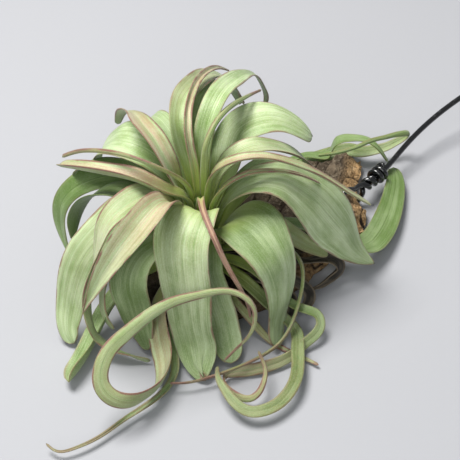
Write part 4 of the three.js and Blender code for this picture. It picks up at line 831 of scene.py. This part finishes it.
def bark_rings():
    """Cork bark as rings across the slab, one a station of y. A ring runs along the flat under side, up the
    right wall, back over the top and down the left wall. The top's height is the thickness, less a fall that
    goes with the power 1.25 of the nearness to the broken right edge, less one with the square of the
    nearness to the worn left one, plus two sines; out of it fissures are taken, which are folded noise drawn
    out along the slab. The rings come with the fissures' depth, how far the cork is broken there, and
    whether it is the under side."""
    z = bpy.context.scene.airplant_sizes
    deep = z.bark_relief / MM
    outline = np.array(BARK_OUTLINE, float)
    y = np.concatenate([[-30, -29.6], np.linspace(-29.2, 83.7, 190), [84.1, 84.5]])
    left = np.interp(y, outline[:, 0], outline[:, 1])[:, None]
    right = np.interp(y, outline[:, 0], outline[:, 2])[:, None]
    right = right - (lattice(y / 3.1, y * 0, 11)[:, None] + 0.5 * lattice(y / 1.1, y * 0, 12)[:, None])
    left = left + 1.2 * (lattice(y / 4.3, y * 0, 13)[:, None] + 0.4 * lattice(y / 1.3, y * 0, 14)[:, None])
    inset = 1.5 + 0.8 * np.sin(0.5 * y)[:, None]
    y = y[:, None]

    def crust(x, y):
        """Depth of the fissures and pits, 0 to 1: noise folded about its middle, sharpest where it is low."""
        p, q = 0.38 * x + 0.92 * y, 0.92 * x - 0.38 * y
        bend = 3 * lattice(p / 21, q / 14, 3)
        crease = 1 - np.abs(2 * lattice(p / 17, (q + bend) / 6.2, 4) - 1)
        fine = 1 - np.abs(2 * lattice(p / 6.5, (q + bend) / 2.6, 5) - 1)
        lumps = lattice(p / 4.4, q / 3.2, 7)
        return (0.5 * ease(crease, 0.86, 1) + 0.25 * ease(fine, 0.75, 1) + 0.2 * ease(lumps, 0.6, 0.2)
                + 0.15 * lattice(x / 0.9, y / 1.3, 6))

    def top(x, y):
        """Height of the upper face, and the depth of its fissures."""
        broken = BROKEN_EDGE[1] * np.maximum(0, 1 - (right - x) / BROKEN_EDGE[0]) ** 1.25
        worn = WORN_EDGE[1] * np.maximum(0, 1 - (x - left) / WORN_EDGE[0]) ** 2
        ridges = np.sin(0.42 * x - 0.3 * y + 1.6 * np.sin(0.09 * y)) + 0.6 * np.sin(0.21 * x + 0.37 * y + 1)
        ridges = 1.1 * ridges * np.minimum(1, np.hypot(x, y) / 17) ** 4
        depth = crust(x, y)
        chunks = lattice(x / 3.2, y / 1.7, 8) + 0.5 * lattice(x / 1.4, y / 0.7, 15)
        cut = deep * depth * (1 - 0.55 * ease(right - x, 11, 6)) + 0.9 * chunks * ease(right - x, 12, 3)
        return BARK_THICKNESS - broken - worn + ridges - cut * ease(np.hypot(x, y), 8, 14), depth

    u = 0.5 - 0.5 * np.cos(np.pi * (0.04 + 0.92 * np.linspace(0, 1, 150)))
    u = (u - u[0]) / (u[-1] - u[0])
    x_top = right + (left - right) * u[None, :]
    y_top = y + 0.8 * np.sin(1.3 * x_top) + 0 * x_top
    z_top, depth = top(x_top, y_top)
    z_top = np.maximum(z_top, 1.5)
    rise = np.linspace(0, 1, 11)[None, 1:-1]

    def grid(x, y, z):
        """The three as points, each spread over the whole grid."""
        return np.stack(np.broadcast_arrays(x, y, z), -1)

    def wall(edge, inward, lift, top_edge, seed):
        """A side wall: it stands in by the inset where it is low, and pits eat into its middle."""
        pits = WALL_PITS * lattice(y / 2.3, rise * 4.1, seed) * np.sin(np.pi * rise)
        x = edge + inward * (inset * (1 - lift) + pits)
        return grid(x, y + 0.8 * lift * np.sin(1.3 * edge), top_edge * lift)

    wall_right = wall(right, -1, rise, z_top[:, :1], 9)
    wall_left = wall(left, 1, 1 - rise, z_top[:, -1:], 10)
    b = np.linspace(0, 1, 40)[None, :]
    below = grid(left + inset + (right - left - 2 * inset) * b, y, 0 * b)
    above = grid(x_top, y_top, z_top)
    rings = np.concatenate([below, wall_right, above, wall_left], 1)
    tan = ease(right - above[..., 0], 11, 4)
    relief = np.concatenate([
        np.ones_like(below) * (0.2, 0, 1), np.ones_like(wall_right) * (0.25, 0.95, 0), grid(depth, tan, 0),
        np.ones_like(wall_left) * (0.35, 0.35, 0)], 1)
    return rings, relief


def wire_path(steps):
    """The wire's middle line: the spline through the hook, the lead, the bark and the winding. Both strands
    turn about one axis at the twist's radius; as the twist eases into the winding, the pitch shortens, the
    first strand's radius goes to nothing and the second's to the winding's radius."""
    axis = np.array(WRAP_DIRECTION, float)
    axis /= np.linalg.norm(axis)
    down = np.array([0, 0, -1.0])
    sideways = np.cross(axis, down)
    fine = np.linspace(0, WRAP_TURNS + TURNS_BEYOND, 411)
    pitch = TWIST_PITCH + (WRAP_PITCH - TWIST_PITCH) * ease(fine, *TWIST_TO_WRAP)
    advance = FIRST_ADVANCE + np.concatenate([[0], np.cumsum((pitch[1:] + pitch[:-1]) / 2 * np.diff(fine))])

    def strand(turn, radius):
        angle = 2 * np.pi * turn[:, None]
        centre = np.array(WRAP_START) + axis * np.interp(turn, fine, advance)[:, None]
        return centre + radius[:, None] * (down * np.cos(angle) + sideways * np.sin(angle))

    eighths = math.ceil(TWIST_TO_WRAP[1] * 8)
    first = np.concatenate([[WRAP_TURNS + TURNS_BEYOND], np.arange(eighths, -1, -1) / 8])
    second = np.arange(int(WRAP_TURNS * 8) + 1) / 8
    wrapped = ease(second, *TWIST_TO_WRAP)
    points = np.concatenate([
        WIRE_LEAD, strand(first, -TWIST_RADIUS * (1 - ease(first, *TWIST_TO_WRAP))), WIRE_THROUGH_BARK,
        strand(second, TWIST_RADIUS + (WRAP_RADIUS - TWIST_RADIUS) * wrapped)])
    return natural_spline(points, steps)


def round_wire(path, radius, around=20):
    """A round section carried along the path: path + radius (normal cos a + side sin a), its ends dulled."""
    tangent, normal = least_twist(path, np.array([0.3, -0.4, 1.0]))
    side = np.cross(tangent, normal)
    a = np.linspace(0, 2 * np.pi, around, endpoint=False)[None, :, None]
    r = np.full((len(path), 1, 1), radius)
    r[[0, -1]] *= 0.8
    return path[:, None] + r * (normal[:, None] * np.cos(a) + side[:, None] * np.sin(a))


LEAST_LEFT = 0.9  # share of a piece's faces that a cut leaves


def cut_out(piece, rings, name):
    """Takes the closed form of the rings out of the piece, and drops the cutter."""
    cutter = bpy.data.objects.new(name, tube_mesh(name, rings))
    bpy.context.scene.collection.objects.link(cutter)
    modifier = piece.modifiers.new(name, "BOOLEAN")
    modifier.operation = "DIFFERENCE"
    modifier.solver = "MANIFOLD"
    modifier.object = cutter
    graph = bpy.context.evaluated_depsgraph_get()
    cut = bpy.data.meshes.new_from_object(piece.evaluated_get(graph), depsgraph=graph)
    if len(cut.polygons) < LEAST_LEFT * len(piece.data.polygons):
        raise RuntimeError(f"{name} took too much of {piece.name}")
    piece.modifiers.clear()
    piece.data = cut
    bpy.data.objects.remove(cutter)


# ---- operators
class AIRPLANT_OT_heart_leaves(bpy.types.Operator):
    """Adds the slim inner leaves"""
    bl_idname = "airplant.heart_leaves"
    bl_label = "Heart leaves"

    def execute(self, context):
        build_leaves(HEART_LEAVES, material_once(leaf_material), 1)
        return {"FINISHED"}


class AIRPLANT_OT_arching_leaves(bpy.types.Operator):
    """Adds the broad leaves that arch out of the heart"""
    bl_idname = "airplant.arching_leaves"
    bl_label = "Arching leaves"

    def execute(self, context):
        build_leaves(ARCHING_LEAVES, material_once(leaf_material), 11)
        return {"FINISHED"}


class AIRPLANT_OT_low_leaves(bpy.types.Operator):
    """Adds the greener leaves below and behind"""
    bl_idname = "airplant.low_leaves"
    bl_label = "Low leaves"

    def execute(self, context):
        build_leaves(LOW_LEAVES, material_once(leaf_material), 24)
        return {"FINISHED"}


class AIRPLANT_OT_curling_leaves(bpy.types.Operator):
    """Adds the leaves that end in a curl"""
    bl_idname = "airplant.curling_leaves"
    bl_label = "Curling leaves"

    def execute(self, context):
        build_leaves(CURLING_LEAVES, material_once(leaf_material), 35)
        return {"FINISHED"}


class AIRPLANT_OT_old_leaves(bpy.types.Operator):
    """Adds the ageing and the dead leaves"""
    bl_idname = "airplant.old_leaves"
    bl_label = "Old leaves"

    def execute(self, context):
        build_leaves(OLD_LEAVES, material_once(leaf_material), 43)
        build_leaves(DRY_LEAVES, material_once(dry_material), 47)
        return {"FINISHED"}


class AIRPLANT_OT_stem(bpy.types.Operator):
    """Adds the short stem that the leaves stand round"""
    bl_idname = "airplant.stem"
    bl_label = "Stem"

    def execute(self, context):
        finish_piece("stem_core", tube_mesh("stem_core", stem_rings()), material_once(stem_material), "stem")
        return {"FINISHED"}


class AIRPLANT_OT_bark(bpy.types.Operator):
    """Adds the slab of cork bark, with the hole that the wire goes through"""
    bl_idname = "airplant.bark"
    bl_label = "Cork bark"

    def execute(self, context):
        rings, relief = bark_rings()
        mesh = tube_mesh("bark_slab", rings)
        store(mesh, "relief", relief)
        piece = finish_piece("bark_slab", mesh, material_once(bark_material), "cork_bark")
        hole = np.array([(*WIRE_HOLE, h) for h in np.linspace(-4, 24, 8)], float)
        cut_out(piece, round_wire(hole, WIRE_HOLE_RADIUS, 24), "hole")
        radius = context.scene.airplant_sizes.wire_radius / MM
        cut_out(piece, round_wire(wire_path(420), radius + WIRE_ROOM, 12), "groove")
        return {"FINISHED"}


class AIRPLANT_OT_wire(bpy.types.Operator):
    """Adds the stiff coated wire: hook, lead, way through the bark, and winding"""
    bl_idname = "airplant.wire"
    bl_label = "Hanging wire"

    def execute(self, context):
        radius = context.scene.airplant_sizes.wire_radius / MM
        rings = round_wire(wire_path(620), radius)
        finish_piece("wire_strand", tube_mesh("wire_strand", rings), material_once(wire_material),
                     "hanging_wire")
        return {"FINISHED"}


class AIRPLANT_OT_stage(bpy.types.Operator):
    """Adds the pale floor, the soft lights and the camera"""
    bl_idname = "airplant.stage"
    bl_label = "Floor, lights and camera"

    def execute(self, context):
        scene = context.scene
        m = Shader("floor_paper", 0.85)
        place = m.add("ShaderNodeTexCoord").outputs["Object"]
        tooth = m.noise(place, 300.0, detail=3)
        tone = scene.airplant_colours.floor
        m.put("Base Color", m.mix(tooth, tuple(v * 0.985 for v in tone), tone))
        mesh = bpy.data.meshes.new("floor")
        corners = [(FLOOR_REACH * x, FLOOR_REACH * y, 0) for x, y in ((-1, -1), (1, -1), (1, 1), (-1, 1))]
        mesh.from_pydata(corners, [], [(0, 1, 2, 3)])
        mesh.materials.append(m.material)
        floor = bpy.data.objects.new("floor", mesh)
        scene.collection.objects.link(floor)

        for name, place, target, size, power, tint in LAMPS:
            data = bpy.data.lights.new(name, "AREA")
            data.shape, data.size, data.energy, data.color = "DISK", size, power, tint
            light = bpy.data.objects.new(name, data)
            light.location = place
            aim = np.array(target) - np.array(place)
            light.rotation_euler = (
                math.acos(-aim[2] / np.linalg.norm(aim)), 0, math.atan2(aim[1], aim[0]) - math.pi / 2)
            scene.collection.objects.link(light)
        world = bpy.data.worlds.new("soft_room")
        world.use_nodes = True
        background = world.node_tree.nodes["Background"]
        background.inputs["Color"].default_value = ROOM_COLOUR
        background.inputs["Strength"].default_value = ROOM_STRENGTH
        scene.world = world
        scene.view_settings.view_transform = "Standard"
        camera = bpy.data.cameras.new("photo_angle")
        camera.sensor_width, camera.lens = CAMERA_SENSOR, CAMERA_LENS
        camera.clip_start, camera.clip_end = CAMERA_CLIP
        eye = bpy.data.objects.new("photo_angle", camera)
        eye.location = CAMERA_PLACE
        eye.rotation_euler = (math.radians(CAMERA_TILT), 0, 0)
        scene.collection.objects.link(eye)
        scene.camera = eye
        return {"FINISHED"}


class AIRPLANT_PT_panel(bpy.types.Panel):
    """Lists the plant's pieces, sizes and colours"""
    bl_idname = "AIRPLANT_PT_panel"
    bl_label = "Air plant"
    bl_space_type = "VIEW_3D"
    bl_region_type = "UI"
    bl_category = "Air plant"

    def draw(self, context):
        for operator in OPERATORS:
            self.layout.operator(operator.bl_idname)
        for group in (context.scene.airplant_sizes, context.scene.airplant_colours):
            box = self.layout.box()
            for key in group.__annotations__:
                box.prop(group, key)


OPERATORS = (
    AIRPLANT_OT_heart_leaves, AIRPLANT_OT_arching_leaves, AIRPLANT_OT_low_leaves, AIRPLANT_OT_curling_leaves,
    AIRPLANT_OT_old_leaves, AIRPLANT_OT_stem, AIRPLANT_OT_bark, AIRPLANT_OT_wire, AIRPLANT_OT_stage,
)
CLASSES = (AIRPLANT_Sizes, AIRPLANT_Colours, *OPERATORS, AIRPLANT_PT_panel)


def register():
    """Registers the classes, and gives the scene its sizes and colours."""
    for cls in CLASSES:
        bpy.utils.register_class(cls)
    bpy.types.Scene.airplant_sizes = bpy.props.PointerProperty(type=AIRPLANT_Sizes)
    bpy.types.Scene.airplant_colours = bpy.props.PointerProperty(type=AIRPLANT_Colours)


def unregister():
    """Takes away what register added."""
    del bpy.types.Scene.airplant_colours
    del bpy.types.Scene.airplant_sizes
    for cls in reversed(CLASSES):
        bpy.utils.unregister_class(cls)


def main():
    """Makes the pieces in order."""
    register()
    bpy.ops.airplant.stage()
    bpy.ops.airplant.heart_leaves()
    bpy.ops.airplant.arching_leaves()
    bpy.ops.airplant.low_leaves()
    bpy.ops.airplant.curling_leaves()
    bpy.ops.airplant.old_leaves()
    bpy.ops.airplant.stem()
    bpy.ops.airplant.bark()
    bpy.ops.airplant.wire()


if __name__ == "__main__":
    main()
